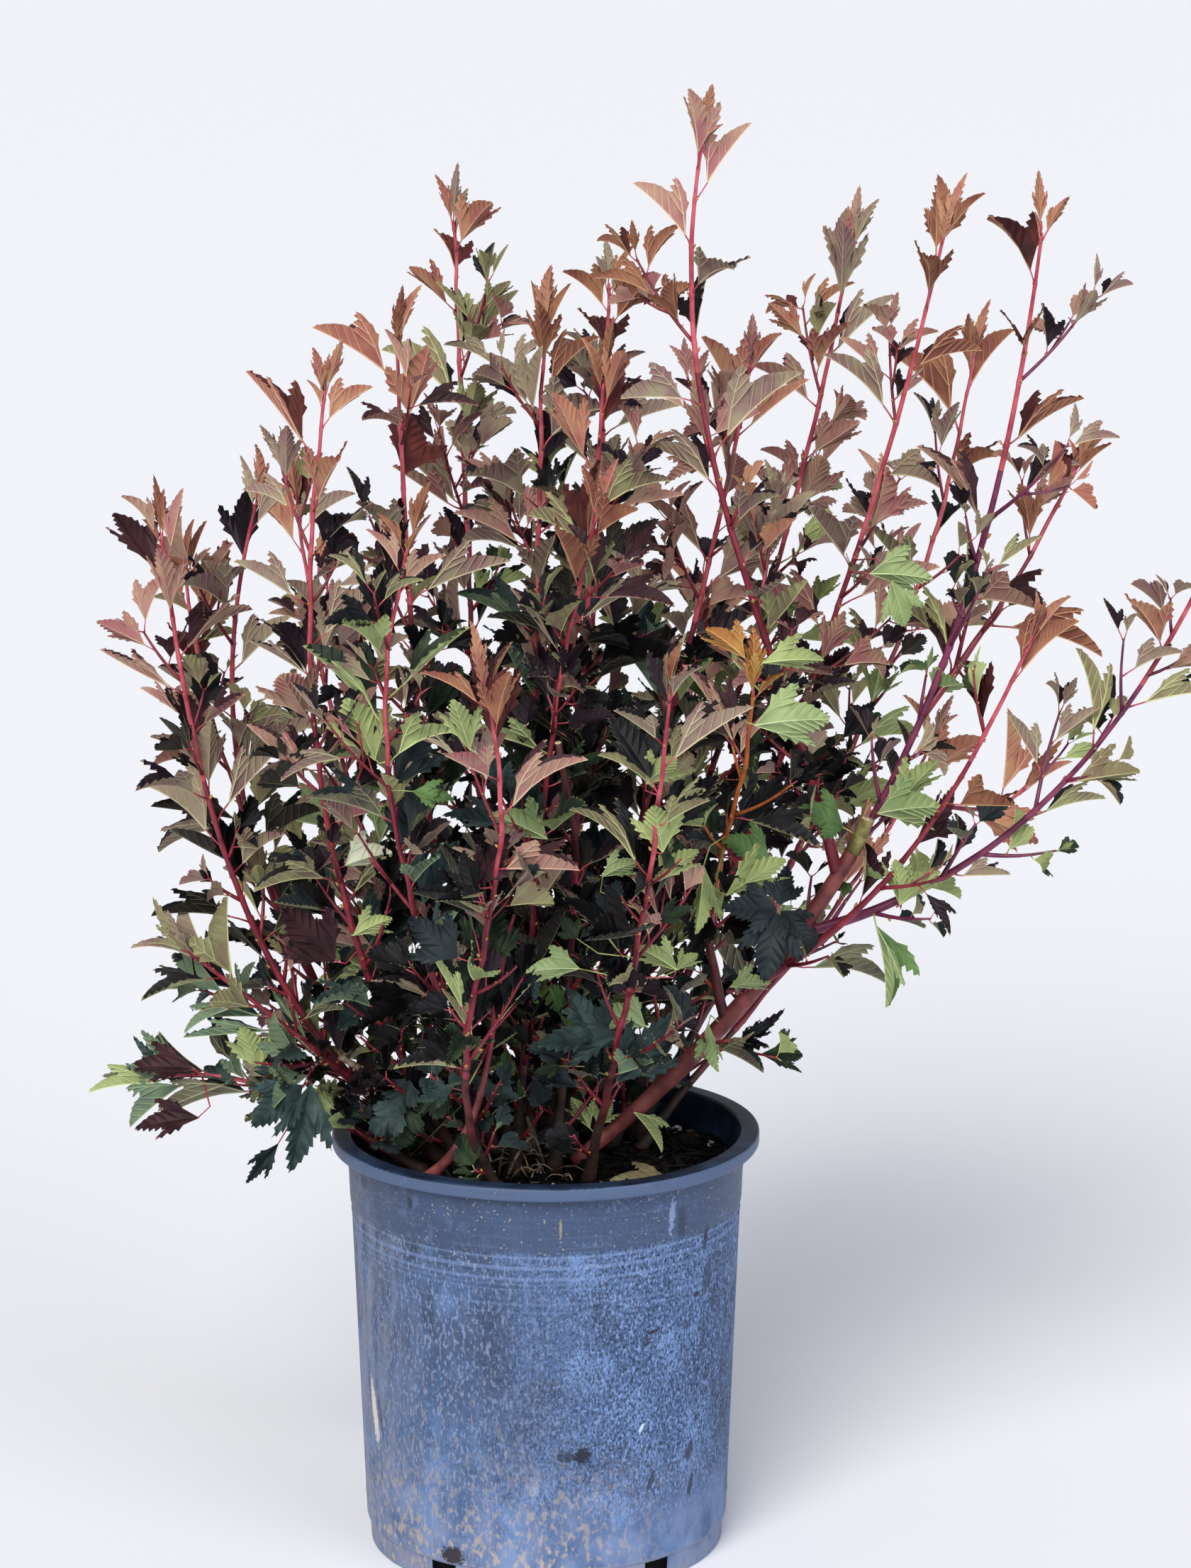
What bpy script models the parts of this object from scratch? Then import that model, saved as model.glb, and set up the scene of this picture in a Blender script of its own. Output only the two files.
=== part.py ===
"""Ninebark shrub standing in its nursery pot, as separate closed solids in metres.

The plant is a clump of canes that rise from the soil and arch outward. Each cane is one
tapering limb, and where its foliage begins a mass of twigs and leaves takes over, which
grows on from the limb's tip by a seeded rule. Z is up, X is to the right seen from the
front, and the origin is the centre of the pot's flat underside.
"""

import math
import random
from dataclasses import dataclass

import bmesh
import bpy
from mathutils import Vector
from mathutils.bvhtree import BVHTree

# Clearance kept between neighbouring solids
GAP = 0.0003

# Pot: a tapered, thin-walled nursery pot with a rolled rim and an inset foot
POT_HEIGHT = 0.300
POT_WALL = 0.0020
POT_FLOOR = 0.0025
POT_SEGMENTS = 48
RIM_RADIUS = 0.1503
RIM_DEPTH = 0.0100
RIM_ROUND = 0.0018
BODY_TOP_RADIUS = 0.1391
BODY_FOOT_RADIUS = 0.1288
BODY_FOOT_HEIGHT = 0.0195
COLLAR_HEIGHT = 0.0500
COLLAR_STEP = 0.0006
COLLAR_BLEND = 0.0010
FOOT_RADIUS = 0.1262
FOOT_HEIGHT = 0.0180
FOOT_TAPER = 0.0008
SLOT_COUNT = 5
SLOT_TURN = 38.0
SLOT_WIDTH = 0.0200
SLOT_HEIGHT = 0.0160
SLOT_REACH = 0.0150

# Soil: a filled plug, its surface a little below the rim
SOIL_TOP = 0.2740

# Canes
CANE_SIDES = 6
CANE_STEP = 0.070
CANE_TIP_RADIUS = 0.0011
CANE_PULL = 0.38
LENGTH_STEPS = 40
FLARE = 0.45
FLARE_REACH = 0.014
START_STEP = 0.0004
OUTLINE_PARTS = 4

# Foliage
TWIG_SIDES = 3
TWIG_FATTER = 1.25
TWIG_RADIUS = 0.0019
TWIG_TIP_RADIUS = 0.0008
STATION = 0.0330
TURN_PER_STATION = math.radians(137.5)
TWIG_EVERY = 3
TWIG_LEAN = math.radians(40.0)
TWIG_TURN_IN = 0.5
TWIG_LIFT = 0.25
TWIG_BEND = 0.5
TWIG_LENGTH = (0.055, 0.105)
SHORTEST_TWIG = 0.0385
TWIG_SHARE_OF_REST = 0.8
TWIG_TO_LEADER = 0.8
TWIG_STATION = 0.0360
LAST_STATION = 0.96
TWIG_END = 0.98
TWIG_END_SCALE = 0.8
LEAF_LENGTH = (0.062, 0.084)
LEAF_WIDTH = 0.74
LEAF_WAIST = 0.47
LEAF_FOLD = 0.10
LEAF_THICK = 0.0016
LEAF_SINK = 0.5
LEAF_LEAN = (math.radians(62.0), math.radians(34.0))
LEAF_LEAN_PLAY = 0.2
LEAF_TRIES = ((0.0, 1.0), (0.8, 0.85), (-0.8, 0.85), (2.0, 0.7), (-2.0, 0.7))
LAST_LEAVES = 3
LAST_LEAF_SCALE = 0.66
LAST_LEAF_REACH = 0.043
LAST_LEAF_GAP = 0.0035
CLEAR = 0.0012
GROUND_CLEAR = 0.008


@dataclass(frozen=True)
class Cane:
    """One shoot: a bare limb from its foot up to a share of its length, then foliage.

    foot is a place (x, y) on the soil, or the name of the cane it springs from and the
    share of that cane's length. tip is how far its last leaf reaches. rise and end_rise
    are degrees above level at the foot and at the tip; turn and end_turn swing those
    directions anticlockwise about Z from the straight line between foot and tip. A shoot
    with limb=False is foliage all the way.
    """

    name: str
    foot: tuple
    tip: tuple
    rise: float
    end_rise: float
    radius: float
    bare: float
    turn: float = 0.0
    end_turn: float = 0.0
    spread: float = 0.070
    limb: bool = True


CANES = [
    Cane("right_main", (0.020, 0.000), (0.339, -0.020, 0.971), 40, 84, 0.0080, 0.58, spread=0.080),
    Cane("tall_centre", ("right_main", 0.37), (0.114, -0.030, 1.035), 74, 80, 0.0046, 0.30, 20, 180, 0.080),
    Cane("right_second", (0.045, 0.035), (0.285, 0.060, 0.968), 66, 78, 0.0046, 0.34),
    Cane("right_third", (0.030, 0.062), (0.222, 0.120, 0.953), 72, 80, 0.0044, 0.34),
    Cane("right_outer", ("right_main", 0.55), (0.385, 0.030, 0.802), 50, 62, 0.0032, 0.0, limb=False),
    Cane("right_long", ("right_main", 0.30), (0.482, -0.060, 0.790), 16, 68, 0.0042, 0.36),
    Cane("right_low", ("right_main", 0.24), (0.343, -0.090, 0.702), 34, 66, 0.0038, 0.24, spread=0.065),
    Cane("right_side", ("right_main", 0.44), (0.366, 0.070, 0.560), 24, 40, 0.0030, 0.0, limb=False),
    Cane("right_back", (0.062, 0.058), (0.319, 0.260, 0.857), 52, 80, 0.0044, 0.30, spread=0.080),
    Cane("centre_high", (0.010, 0.045), (0.150, 0.060, 0.874), 78, 80, 0.0044, 0.32),
    Cane("back_centre", (0.000, 0.072), (0.046, 0.220, 0.915), 70, 84, 0.0046, 0.30, spread=0.080),
    Cane("back_left_tall", (-0.030, 0.060), (-0.069, 0.200, 0.961), 70, 80, 0.0046, 0.32, spread=0.080),
    Cane("centre_left", (-0.012, 0.020), (0.002, 0.050, 0.902), 84, 84, 0.0044, 0.34, spread=0.070),
    Cane("centre_front", (0.006, -0.022), (0.045, -0.040, 0.872), 84, 84, 0.0044, 0.24, spread=0.070),
    Cane("centre_low", (-0.022, -0.034), (0.047, -0.130, 0.794), 84, 66, 0.0042, 0.20, 30, 0, 0.065),
    Cane("front_amber", ("right_main", 0.19), (0.140, -0.150, 0.680), 70, 74, 0.0040, 0.20, -60, 0, 0.065),
    Cane("front_centre", (0.030, -0.048), (0.084, -0.240, 0.696), 60, 78, 0.0040, 0.18),
    Cane("left_high", (-0.036, 0.012), (-0.101, -0.010, 0.899), 76, 88, 0.0044, 0.32),
    Cane("left_tall", (-0.058, -0.012), (-0.138, -0.080, 0.872), 56, 80, 0.0044, 0.24, 0, 180),
    Cane("left_mid", (-0.044, -0.046), (-0.075, -0.150, 0.778), 70, 74, 0.0040, 0.18, 0, 120, 0.065),
    Cane("left_out", (-0.064, 0.020), (-0.185, 0.010, 0.785), 44, 74, 0.0044, 0.36, 0, 180, 0.065),
    Cane("left_far", (-0.072, 0.000), (-0.262, -0.050, 0.772), 40, 84, 0.0046, 0.36, spread=0.045),
    Cane("left_behind", ("left_out", 0.30), (-0.258, 0.085, 0.726), 60, 84, 0.0032, 0.0, 0, 0, 0.050, False),
    Cane("front_left", (-0.030, -0.080), (-0.045, -0.280, 0.705), 52, 70, 0.0040, 0.22, -35, -40),
    Cane("left_low", ("left_far", 0.16), (-0.274, -0.090, 0.475), 36, 40, 0.0030, 0.0, 30, 0, 0.060, False),
    Cane("left_foot", (-0.084, -0.024), (-0.308, -0.030, 0.340), 30, -6, 0.0036, 0.16, spread=0.055),
    Cane("back_right_low", (0.066, 0.028), (0.300, 0.210, 0.575), 44, 60, 0.0038, 0.20, spread=0.075),
    Cane("back_low", (0.028, 0.086), (0.120, 0.315, 0.680), 52, 78, 0.0040, 0.20, spread=0.065),
    Cane("back_left", (-0.058, 0.052), (-0.190, 0.250, 0.755), 54, 80, 0.0042, 0.24, spread=0.080),
    Cane("back_left_low", ("back_left", 0.16), (-0.170, 0.310, 0.510), 44, 60, 0.0034, 0.0, 0, 0, 0.070, False),
    Cane("front_right_low", ("right_main", 0.15), (0.158, -0.080, 0.386), 30, 14, 0.0024, 0.0, -20, 0, 0.055, False),
]
PRUNED = Cane("pruned", (-0.096, -0.066), (-0.020, -0.095, 0.476), 28, 74, 0.0046, 1.0, 0, 30)


def clear_scene():
    """Remove every object that a new file starts with."""
    for item in list(bpy.data.objects):
        bpy.data.objects.remove(item, do_unlink=True)


def finish(name, colour, roughness):
    """Material with one base colour and roughness."""
    material = bpy.data.materials.new(name)
    material.use_nodes = True
    shader = material.node_tree.nodes["Principled BSDF"]
    shader.inputs["Base Color"].default_value = (*colour, 1.0)
    shader.inputs["Roughness"].default_value = roughness
    return material


def link_mesh(name, vertices, faces, material, collection=None):
    """Object with a mesh of these vertices and faces, in the scene or in a collection."""
    mesh = bpy.data.meshes.new(name)
    mesh.from_pydata(vertices, [], faces)
    mesh.materials.append(material)
    item = bpy.data.objects.new(name, mesh)
    (collection or bpy.context.scene.collection).objects.link(item)
    return item


def turned(name, profile, material):
    """Solid of revolution about Z from (radius, height) points that start and end on the axis."""
    bm = bmesh.new()
    points = [bm.verts.new((radius, 0.0, height)) for radius, height in profile]
    edges = [bm.edges.new(pair) for pair in zip(points, points[1:])]
    bmesh.ops.spin(bm, geom=points + edges, cent=(0, 0, 0), axis=(0, 0, 1), angle=math.tau,
                   steps=POT_SEGMENTS, use_merge=True)
    bmesh.ops.remove_doubles(bm, verts=bm.verts, dist=1e-5)
    bmesh.ops.recalc_face_normals(bm, faces=bm.faces)
    mesh = bpy.data.meshes.new(name)
    bm.to_mesh(mesh)
    bm.free()
    mesh.materials.append(material)
    item = bpy.data.objects.new(name, mesh)
    bpy.context.scene.collection.objects.link(item)
    mesh.shade_smooth()
    mesh.set_sharp_from_angle(angle=math.radians(30.0))
    return item


def apply_modifiers(item):
    """Replace an object's mesh with what its modifiers make of it."""
    bpy.context.view_layer.update()
    evaluated = item.evaluated_get(bpy.context.evaluated_depsgraph_get())
    mesh = bpy.data.meshes.new_from_object(evaluated)
    item.modifiers.clear()
    old = item.data
    item.data = mesh
    bpy.data.meshes.remove(old)


def wall_radius(height):
    """Outer radius of the pot's tapered body at a height."""
    share = (height - BODY_FOOT_HEIGHT) / (POT_HEIGHT - RIM_DEPTH - BODY_FOOT_HEIGHT)
    return BODY_FOOT_RADIUS + (BODY_TOP_RADIUS - BODY_FOOT_RADIUS) * share


def make_pot(material):
    """Pot with its rolled rim, collar step, inset foot and drain slots at the foot's edge."""
    collar = POT_HEIGHT - COLLAR_HEIGHT
    rim_under = POT_HEIGHT - RIM_DEPTH
    inner_top = BODY_TOP_RADIUS - POT_WALL
    outside = [
        (0.0, 0.0),
        (FOOT_RADIUS - FOOT_TAPER, 0.0),
        (FOOT_RADIUS, FOOT_HEIGHT),
        (BODY_FOOT_RADIUS, BODY_FOOT_HEIGHT),
        (wall_radius(collar) - COLLAR_STEP / 2, collar - COLLAR_BLEND),
        (wall_radius(collar) + COLLAR_STEP / 2, collar + COLLAR_BLEND),
        (BODY_TOP_RADIUS, rim_under),
    ]
    rim = [
        (RIM_RADIUS - RIM_ROUND, rim_under),
        (RIM_RADIUS, rim_under + RIM_ROUND),
        (RIM_RADIUS, POT_HEIGHT - RIM_ROUND),
        (RIM_RADIUS - RIM_ROUND, POT_HEIGHT),
        (inner_top + RIM_ROUND, POT_HEIGHT),
        (inner_top, POT_HEIGHT - RIM_ROUND),
    ]
    inside = [
        (wall_radius(BODY_FOOT_HEIGHT) - POT_WALL, BODY_FOOT_HEIGHT),
        (FOOT_RADIUS - POT_WALL, FOOT_HEIGHT - POT_WALL),
        (FOOT_RADIUS - POT_WALL, POT_FLOOR),
        (0.0, POT_FLOOR),
    ]
    pot = turned("pot", outside + rim + inside, material)
    cutters = bpy.data.collections.new("drain_slots")
    bpy.context.scene.collection.children.link(cutters)
    for number in range(SLOT_COUNT):
        angle = math.radians(-90.0 + SLOT_TURN + number * 360.0 / SLOT_COUNT)
        bm = bmesh.new()
        bmesh.ops.create_cube(bm, size=1.0)
        mesh = bpy.data.meshes.new("drain_slot")
        bm.to_mesh(mesh)
        bm.free()
        cutter = bpy.data.objects.new(f"drain_slot_{number}", mesh)
        cutter.scale = (2 * SLOT_REACH, SLOT_WIDTH, 2 * SLOT_HEIGHT)
        cutter.location = (FOOT_RADIUS * math.cos(angle), FOOT_RADIUS * math.sin(angle), 0.0)
        cutter.rotation_euler = (0.0, 0.0, angle)
        cutters.objects.link(cutter)
    cut = pot.modifiers.new("drain slots", "BOOLEAN")
    cut.operation = "DIFFERENCE"
    cut.operand_type = "COLLECTION"
    cut.collection = cutters
    apply_modifiers(pot)
    remove_collection(cutters)


def make_soil(material):
    """Plug of potting mix that fills the pot to just below its rim."""
    inset = POT_WALL + GAP
    profile = [
        (0.0, POT_FLOOR + GAP),
        (FOOT_RADIUS - inset, POT_FLOOR + GAP),
        (FOOT_RADIUS - inset, FOOT_HEIGHT - POT_WALL),
        (wall_radius(BODY_FOOT_HEIGHT) - inset, BODY_FOOT_HEIGHT + GAP),
        (wall_radius(SOIL_TOP) - inset, SOIL_TOP),
        (0.0, SOIL_TOP),
    ]
    turned("soil", profile, material)


def remove_collection(collection):
    """Remove a helper collection together with its objects and their meshes."""
    for item in list(collection.objects):
        mesh = item.data
        bpy.data.objects.remove(item, do_unlink=True)
        bpy.data.meshes.remove(mesh)
    bpy.data.collections.remove(collection)


def heading(rise, azimuth):
    """Unit vector that rises by an angle above level towards an azimuth."""
    return Vector((math.cos(rise) * math.cos(azimuth), math.cos(rise) * math.sin(azimuth), math.sin(rise)))


class Route:
    """Centreline of one cane, a cubic curve from its foot to its tip, with its taper."""

    def __init__(self, cane, foot):
        self.cane = cane
        azimuth = math.atan2(cane.tip[1] - foot.y, cane.tip[0] - foot.x)
        growth = heading(math.radians(cane.end_rise), azimuth + math.radians(cane.end_turn))
        tip = Vector(cane.tip)
        if cane.bare < 1.0:
            tip -= growth * LAST_LEAF_REACH
        reach = CANE_PULL * (tip - foot).length
        first = foot + heading(math.radians(cane.rise), azimuth + math.radians(cane.turn)) * reach
        second = tip - growth * reach
        self.controls = (foot, first, second, tip)
        self.across = Vector((-math.sin(azimuth), math.cos(azimuth), 0.0))
        steps = [self.point(step / LENGTH_STEPS) for step in range(LENGTH_STEPS + 1)]
        self.length = sum((b - a).length for a, b in zip(steps, steps[1:]))

    def point(self, share):
        """Place on the centreline at a share of the way up."""
        rest = 1.0 - share
        weights = (rest ** 3, 3 * rest * rest * share, 3 * rest * share * share, share ** 3)
        return sum((control * weight for control, weight in zip(self.controls, weights)), Vector())

    def tangent(self, share):
        """Direction of growth at a share of the way up."""
        rest = 1.0 - share
        a, b, c, d = self.controls
        return ((b - a) * rest * rest + (c - b) * 2 * rest * share + (d - c) * share * share).normalized()

    def radius(self, share):
        """Radius of the wood, with a flare where it leaves the soil."""
        flare = 0.0
        if not isinstance(self.cane.foot[0], str):
            flare = FLARE * math.exp(-share * self.length / FLARE_REACH)
        return (self.cane.radius * (1.0 - share) + CANE_TIP_RADIUS * share) * (1.0 + flare)

    def shares(self, start, end):
        """Shares at which sections stand along a stretch, no further apart than a step."""
        count = max(3, round((end - start) * self.length / CANE_STEP))
        return [start + (end - start) * step / count for step in range(count + 1)]

    def axis(self, start, end):
        """Centre points with their radii between two shares, as the solid there is made."""
        return [(self.point(share), self.radius(share)) for share in self.shares(start, end)]


def clearance(point, axis):
    """Distance from a point to the surface of a tapered axis."""
    nearest = math.inf
    for (a, ra), (b, rb) in zip(axis, axis[1:]):
        run = b - a
        share = max(0.0, min(1.0, (point - a).dot(run) / run.length_squared))
        nearest = min(nearest, (point - a - run * share).length - ra - (rb - ra) * share)
    return nearest


def ring(centre, direction, across, radius, sides):
    """Corners of one cross-section, square to a direction."""
    side = (across - direction * across.dot(direction)).normalized()
    other = direction.cross(side)
    turns = [math.tau * step / sides for step in range(sides)]
    return [centre + (side * math.cos(turn) + other * math.sin(turn)) * radius for turn in turns]


def lofted(rings):
    """Vertices and faces of a closed tube through rings of equal count."""
    sides = len(rings[0])
    vertices = [corner for section in rings for corner in section]
    faces = [tuple(reversed(range(sides)))]
    for level in range(len(rings) - 1):
        low = level * sides
        for step in range(sides):
            after = (step + 1) % sides
            faces.append((low + step, low + after, low + sides + after, low + sides + step))
    top = (len(rings) - 1) * sides
    faces.append(tuple(range(top, top + sides)))
    return vertices, faces


def start_share(route, sides, fatter, parent_axis):
    """First share of a shoot at which its whole section stands clear of what it springs from."""
    share = 0.0
    while True:
        centre, direction = route.point(share), route.tangent(share)
        corners = ring(centre, direction, route.across, route.radius(share) * fatter, sides)
        outline = [
            corner.lerp(after, part / OUTLINE_PARTS)
            for corner, after in zip(corners, corners[1:] + corners[:1])
            for part in range(OUTLINE_PARTS)
        ]
        if min(clearance(place, parent_axis) for place in [centre, *outline]) > GAP:
            return share
        share += START_STEP / route.length


def limb_solid(route, start, end):
    """Tapering limb between two shares, cut level where it stands on the soil."""
    shares = route.shares(start, end)
    if start == 0.0:
        shares.insert(1, FLARE_REACH / route.length)
    rings = [
        ring(route.point(share), route.tangent(share), route.across, route.radius(share), CANE_SIDES)
        for share in shares
    ]
    if start == 0.0:
        growth = route.tangent(0.0)
        level = SOIL_TOP + GAP
        rings[0] = [corner + growth * ((level - corner.z) / growth.z) for corner in rings[0]]
    return lofted(rings)


@dataclass
class Twig:
    """Axis that bears leaves: its points, growth directions, radii and a vector across it."""

    points: list
    directions: list
    radii: list
    across: Vector

    def at(self, share):
        """Place, direction and radius at a share of the way along."""
        place = share * (len(self.points) - 1)
        index = min(int(place), len(self.points) - 2)
        part = place - index
        a, b = self.points[index], self.points[index + 1]
        radius = self.radii[index] * (1 - part) + self.radii[index + 1] * part
        return a.lerp(b, part), (b - a).normalized(), radius

    def length(self):
        """Length along the points."""
        return sum((b - a).length for a, b in zip(self.points, self.points[1:]))

    def solid(self):
        """Three-sided tube along the twig."""
        rings = [
            ring(centre, direction, self.across, radius * TWIG_FATTER, TWIG_SIDES)
            for centre, direction, radius in zip(self.points, self.directions, self.radii)
        ]
        return lofted(rings)


def leader_twig(route, start):
    """Main stem of a mass, from a share of its cane to the tip."""
    shares = route.shares(start, 1.0)
    radii = [max(route.radius(share), TWIG_TIP_RADIUS) for share in shares]
    points = [route.point(share) for share in shares]
    return Twig(points, [route.tangent(share) for share in shares], radii, route.across)


def side_twig(leader, share, turn, length):
    """Side shoot that leaves a leader at an angle and leans up towards its direction."""
    base, direction, radius = leader.at(share)
    side = (leader.across - direction * leader.across.dot(direction)).normalized()
    out = side * math.cos(turn) + direction.cross(side) * math.sin(turn)
    start = direction * math.cos(TWIG_LEAN) + out * math.sin(TWIG_LEAN)
    end = (start + direction * TWIG_TURN_IN + Vector((0.0, 0.0, TWIG_LIFT))).normalized()
    growth = (start + end * TWIG_BEND).normalized()
    radii = [min(radius * TWIG_TO_LEADER, TWIG_RADIUS), TWIG_TIP_RADIUS]
    return Twig([base, base + growth * length], [growth, growth], radii, leader.across)


def leaf_solid(root, along, upper, length, sink, fatter=0.0):
    """Leaf as a folded kite with eight faces, its root sunk past the twig's centre.

    upper is the side the blade's upper face looks to; fatter grows the solid all round,
    for clearance tests.
    """
    across = along.cross(upper).normalized()
    normal = across.cross(along)
    waist = root + along * length * LEAF_WAIST
    half = length * LEAF_WIDTH / 2 + fatter
    lift = normal * length * LEAF_FOLD
    half_thick = LEAF_THICK / 2 + fatter
    vertices = [
        root - along * sink,
        waist - across * half + lift,
        root + along * (length + fatter),
        waist + across * half + lift,
        waist + normal * half_thick,
        waist - normal * half_thick,
    ]
    faces = []
    for step in range(4):
        after = (step + 1) % 4
        faces.append((after, step, 4))
        faces.append((step, after, 5))
    return vertices, faces


def joined_lists(solids):
    """One vertex and face list from many solids."""
    vertices, faces = [], []
    for points, sides in solids:
        shift = len(vertices)
        vertices.extend(points)
        faces.extend(tuple(index + shift for index in face) for face in sides)
    return vertices, faces


def tree_of(solids):
    """Search tree over the surfaces of some solids."""
    vertices, faces = joined_lists(solids)
    return BVHTree.FromPolygons(vertices, faces)


class Mass:
    """One mass of foliage: a leader, side twigs and leaves that keep to their own space."""

    def __init__(self, route, start, seed):
        self.cane = route.cane
        self.leader = leader_twig(route, start)
        self.axis = list(zip(self.leader.points, self.leader.radii))
        self.draw = random.Random(seed)
        self.twigs = [self.leader]
        self.leaves = []

    def in_own_space(self, points, others):
        """Whether points lie within the spread, nearer to this leader than to any other."""
        for point in points:
            own = clearance(point, self.axis)
            if own > self.cane.spread or point.z < SOIL_TOP + GROUND_CLEAR:
                return False
            if own > min(clearance(point, axis) for axis in others):
                return False
        return True

    def add_leaf(self, twig, share, turn, scale, others, obstacles):
        """Fuse one leaf on at a station, unless it would leave the space or touch something.

        A leaf that doesn't fit is tried again, turned aside and smaller.
        """
        root, direction, radius = twig.at(share)
        side = (twig.across - direction * twig.across.dot(direction)).normalized()
        length = self.draw.uniform(*LEAF_LENGTH) * scale
        lean = LEAF_LEAN[0] + (LEAF_LEAN[1] - LEAF_LEAN[0]) * share
        lean += self.draw.uniform(-LEAF_LEAN_PLAY, LEAF_LEAN_PLAY)
        for aside, smaller in LEAF_TRIES:
            around = turn + aside
            out = side * math.cos(around) + direction.cross(side) * math.sin(around)
            along = direction * math.cos(lean) + out * math.sin(lean)
            upper = direction - along * direction.dot(along)
            size = length * smaller
            if not self.in_own_space([root + along * size * LEAF_WAIST], others):
                continue
            tested = tree_of([leaf_solid(root, along, upper, size, 0.0, CLEAR)])
            if tested.overlap(obstacles) or self.leaves and tested.overlap(tree_of(self.leaves)):
                continue
            self.leaves.append(leaf_solid(root, along, upper, size, radius * LEAF_SINK))
            return

    def grow(self, others, obstacles):
        """Set side twigs along the leader by the seeded rule, then leaves on all of them."""
        length = self.leader.length()
        count = max(3, round(length / STATION))
        turn = self.draw.uniform(0.0, math.tau)
        plan = []
        for station in range(1, count):
            share = station / count
            turn += TURN_PER_STATION
            rest = (1.0 - share) * length
            wanted = min(self.draw.uniform(*TWIG_LENGTH), TWIG_SHARE_OF_REST * rest, self.cane.spread)
            if station % TWIG_EVERY == 1 and wanted > SHORTEST_TWIG:
                twig = side_twig(self.leader, share, turn, wanted)
                clear = self.in_own_space(twig.points[1:], others)
                if clear and not tree_of([twig.solid()]).overlap(obstacles):
                    self.twigs.append(twig)
                    continue
            plan.append((self.leader, share, turn, 1.0))
        for twig in self.twigs[1:]:
            stations = max(1, round(twig.length() / TWIG_STATION))
            spin = self.draw.uniform(0.0, math.tau)
            for station in range(1, stations + 1):
                spin += TURN_PER_STATION
                plan.append((twig, min(station / stations, LAST_STATION), spin, 1.0))
            plan.append((twig, TWIG_END, spin + math.pi, TWIG_END_SCALE))
        for step in range(LAST_LEAVES):
            share = 1.0 - LAST_LEAF_GAP * (step + 1) / length
            plan.append((self.leader, share, turn + step * math.tau / LAST_LEAVES, LAST_LEAF_SCALE))
        for twig, share, spin, scale in plan:
            self.add_leaf(twig, share, spin, scale, others, obstacles)

    def solids(self):
        """All overlapping solids of the mass, its leader first."""
        return [twig.solid() for twig in self.twigs] + self.leaves


def largest_body(mesh):
    """Keep a fused mesh's one main body: sealed hollows and loose scraps are dropped."""
    bm = bmesh.new()
    bm.from_mesh(mesh)
    bmesh.ops.triangulate(bm, faces=bm.faces)
    islands, seen = [], set()
    for start in bm.verts:
        if start in seen:
            continue
        island, stack = [], [start]
        seen.add(start)
        while stack:
            vertex = stack.pop()
            island.append(vertex)
            for edge in vertex.link_edges:
                other = edge.other_vert(vertex)
                if other not in seen:
                    seen.add(other)
                    stack.append(other)
        islands.append(island)
    islands.sort(key=len, reverse=True)
    for island in islands[1:]:
        bmesh.ops.delete(bm, geom=island, context="VERTS")
    bm.to_mesh(mesh)
    closed = all(len(edge.link_faces) == 2 for edge in bm.edges)
    bm.free()
    return closed


def fuse(name, solids, material):
    """Join a leader with its twigs and leaves by one Boolean union on a collection.

    The exact solver comes first, and the manifold one where that leaves an open edge. The
    last leaf is left out where neither closes the mass.
    """
    base = None
    while base is None:
        parts = bpy.data.collections.new(name + "_parts")
        bpy.context.scene.collection.children.link(parts)
        for number, (vertices, faces) in enumerate(solids[1:]):
            link_mesh(f"{name}_part_{number}", vertices, faces, material, parts)
        for solver in ("EXACT", "MANIFOLD"):
            base = link_mesh(name, *solids[0], material)
            union = base.modifiers.new("union", "BOOLEAN")
            union.operation = "UNION"
            union.operand_type = "COLLECTION"
            union.collection = parts
            union.solver = solver
            apply_modifiers(base)
            if largest_body(base.data):
                break
            bpy.data.objects.remove(base, do_unlink=True)
            base = None
        remove_collection(parts)
        solids = solids[:-1]
    base.data.materials.clear()
    base.data.materials.append(material)


def build_routes():
    """Centreline of every cane, parents first."""
    routes = {}
    for cane in [*CANES, PRUNED]:
        if isinstance(cane.foot[0], str):
            parent, share = cane.foot
            foot = routes[parent].point(share)
        else:
            foot = Vector((*cane.foot, SOIL_TOP + GAP))
        routes[cane.name] = Route(cane, foot)
    return routes


def main():
    """Build pot, soil, limbs and masses of foliage."""
    clear_scene()
    plastic = finish("pot_plastic", (0.045, 0.062, 0.095), 0.62)
    mix = finish("potting_mix", (0.012, 0.010, 0.009), 0.95)
    bark = finish("cane_bark", (0.27, 0.035, 0.045), 0.50)
    blade = finish("leaf_blade", (0.075, 0.055, 0.040), 0.45)
    make_pot(plastic)
    make_soil(mix)
    routes = build_routes()
    limbs = {}
    masses = []
    for number, cane in enumerate(CANES):
        route = routes[cane.name]
        start = 0.0
        if isinstance(cane.foot[0], str):
            parent = routes[cane.foot[0]]
            sides, fatter = (CANE_SIDES, 1.0) if cane.limb else (TWIG_SIDES, TWIG_FATTER)
            start = start_share(route, sides, fatter, parent.axis(0.0, parent.cane.bare))
        if cane.limb:
            limbs[cane.name] = limb_solid(route, start, cane.bare)
            start = cane.bare + GAP / route.length
        masses.append(Mass(route, start, seed=number + 1))
    limbs["pruned"] = limb_solid(routes["pruned"], 0.0, 1.0)
    for name, (vertices, faces) in limbs.items():
        item = link_mesh(f"cane_{name}", vertices, faces, bark)
        item.data.shade_smooth()
    for mass in masses:
        others = [other.axis for other in masses if other is not mass]
        blockers = list(limbs.values())
        for other in masses:
            if other is not mass:
                blockers.extend(other.solids())
        mass.grow(others, tree_of(blockers))
    for mass in masses:
        fuse(f"leaves_{mass.cane.name}", mass.solids(), blade)


main()
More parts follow.
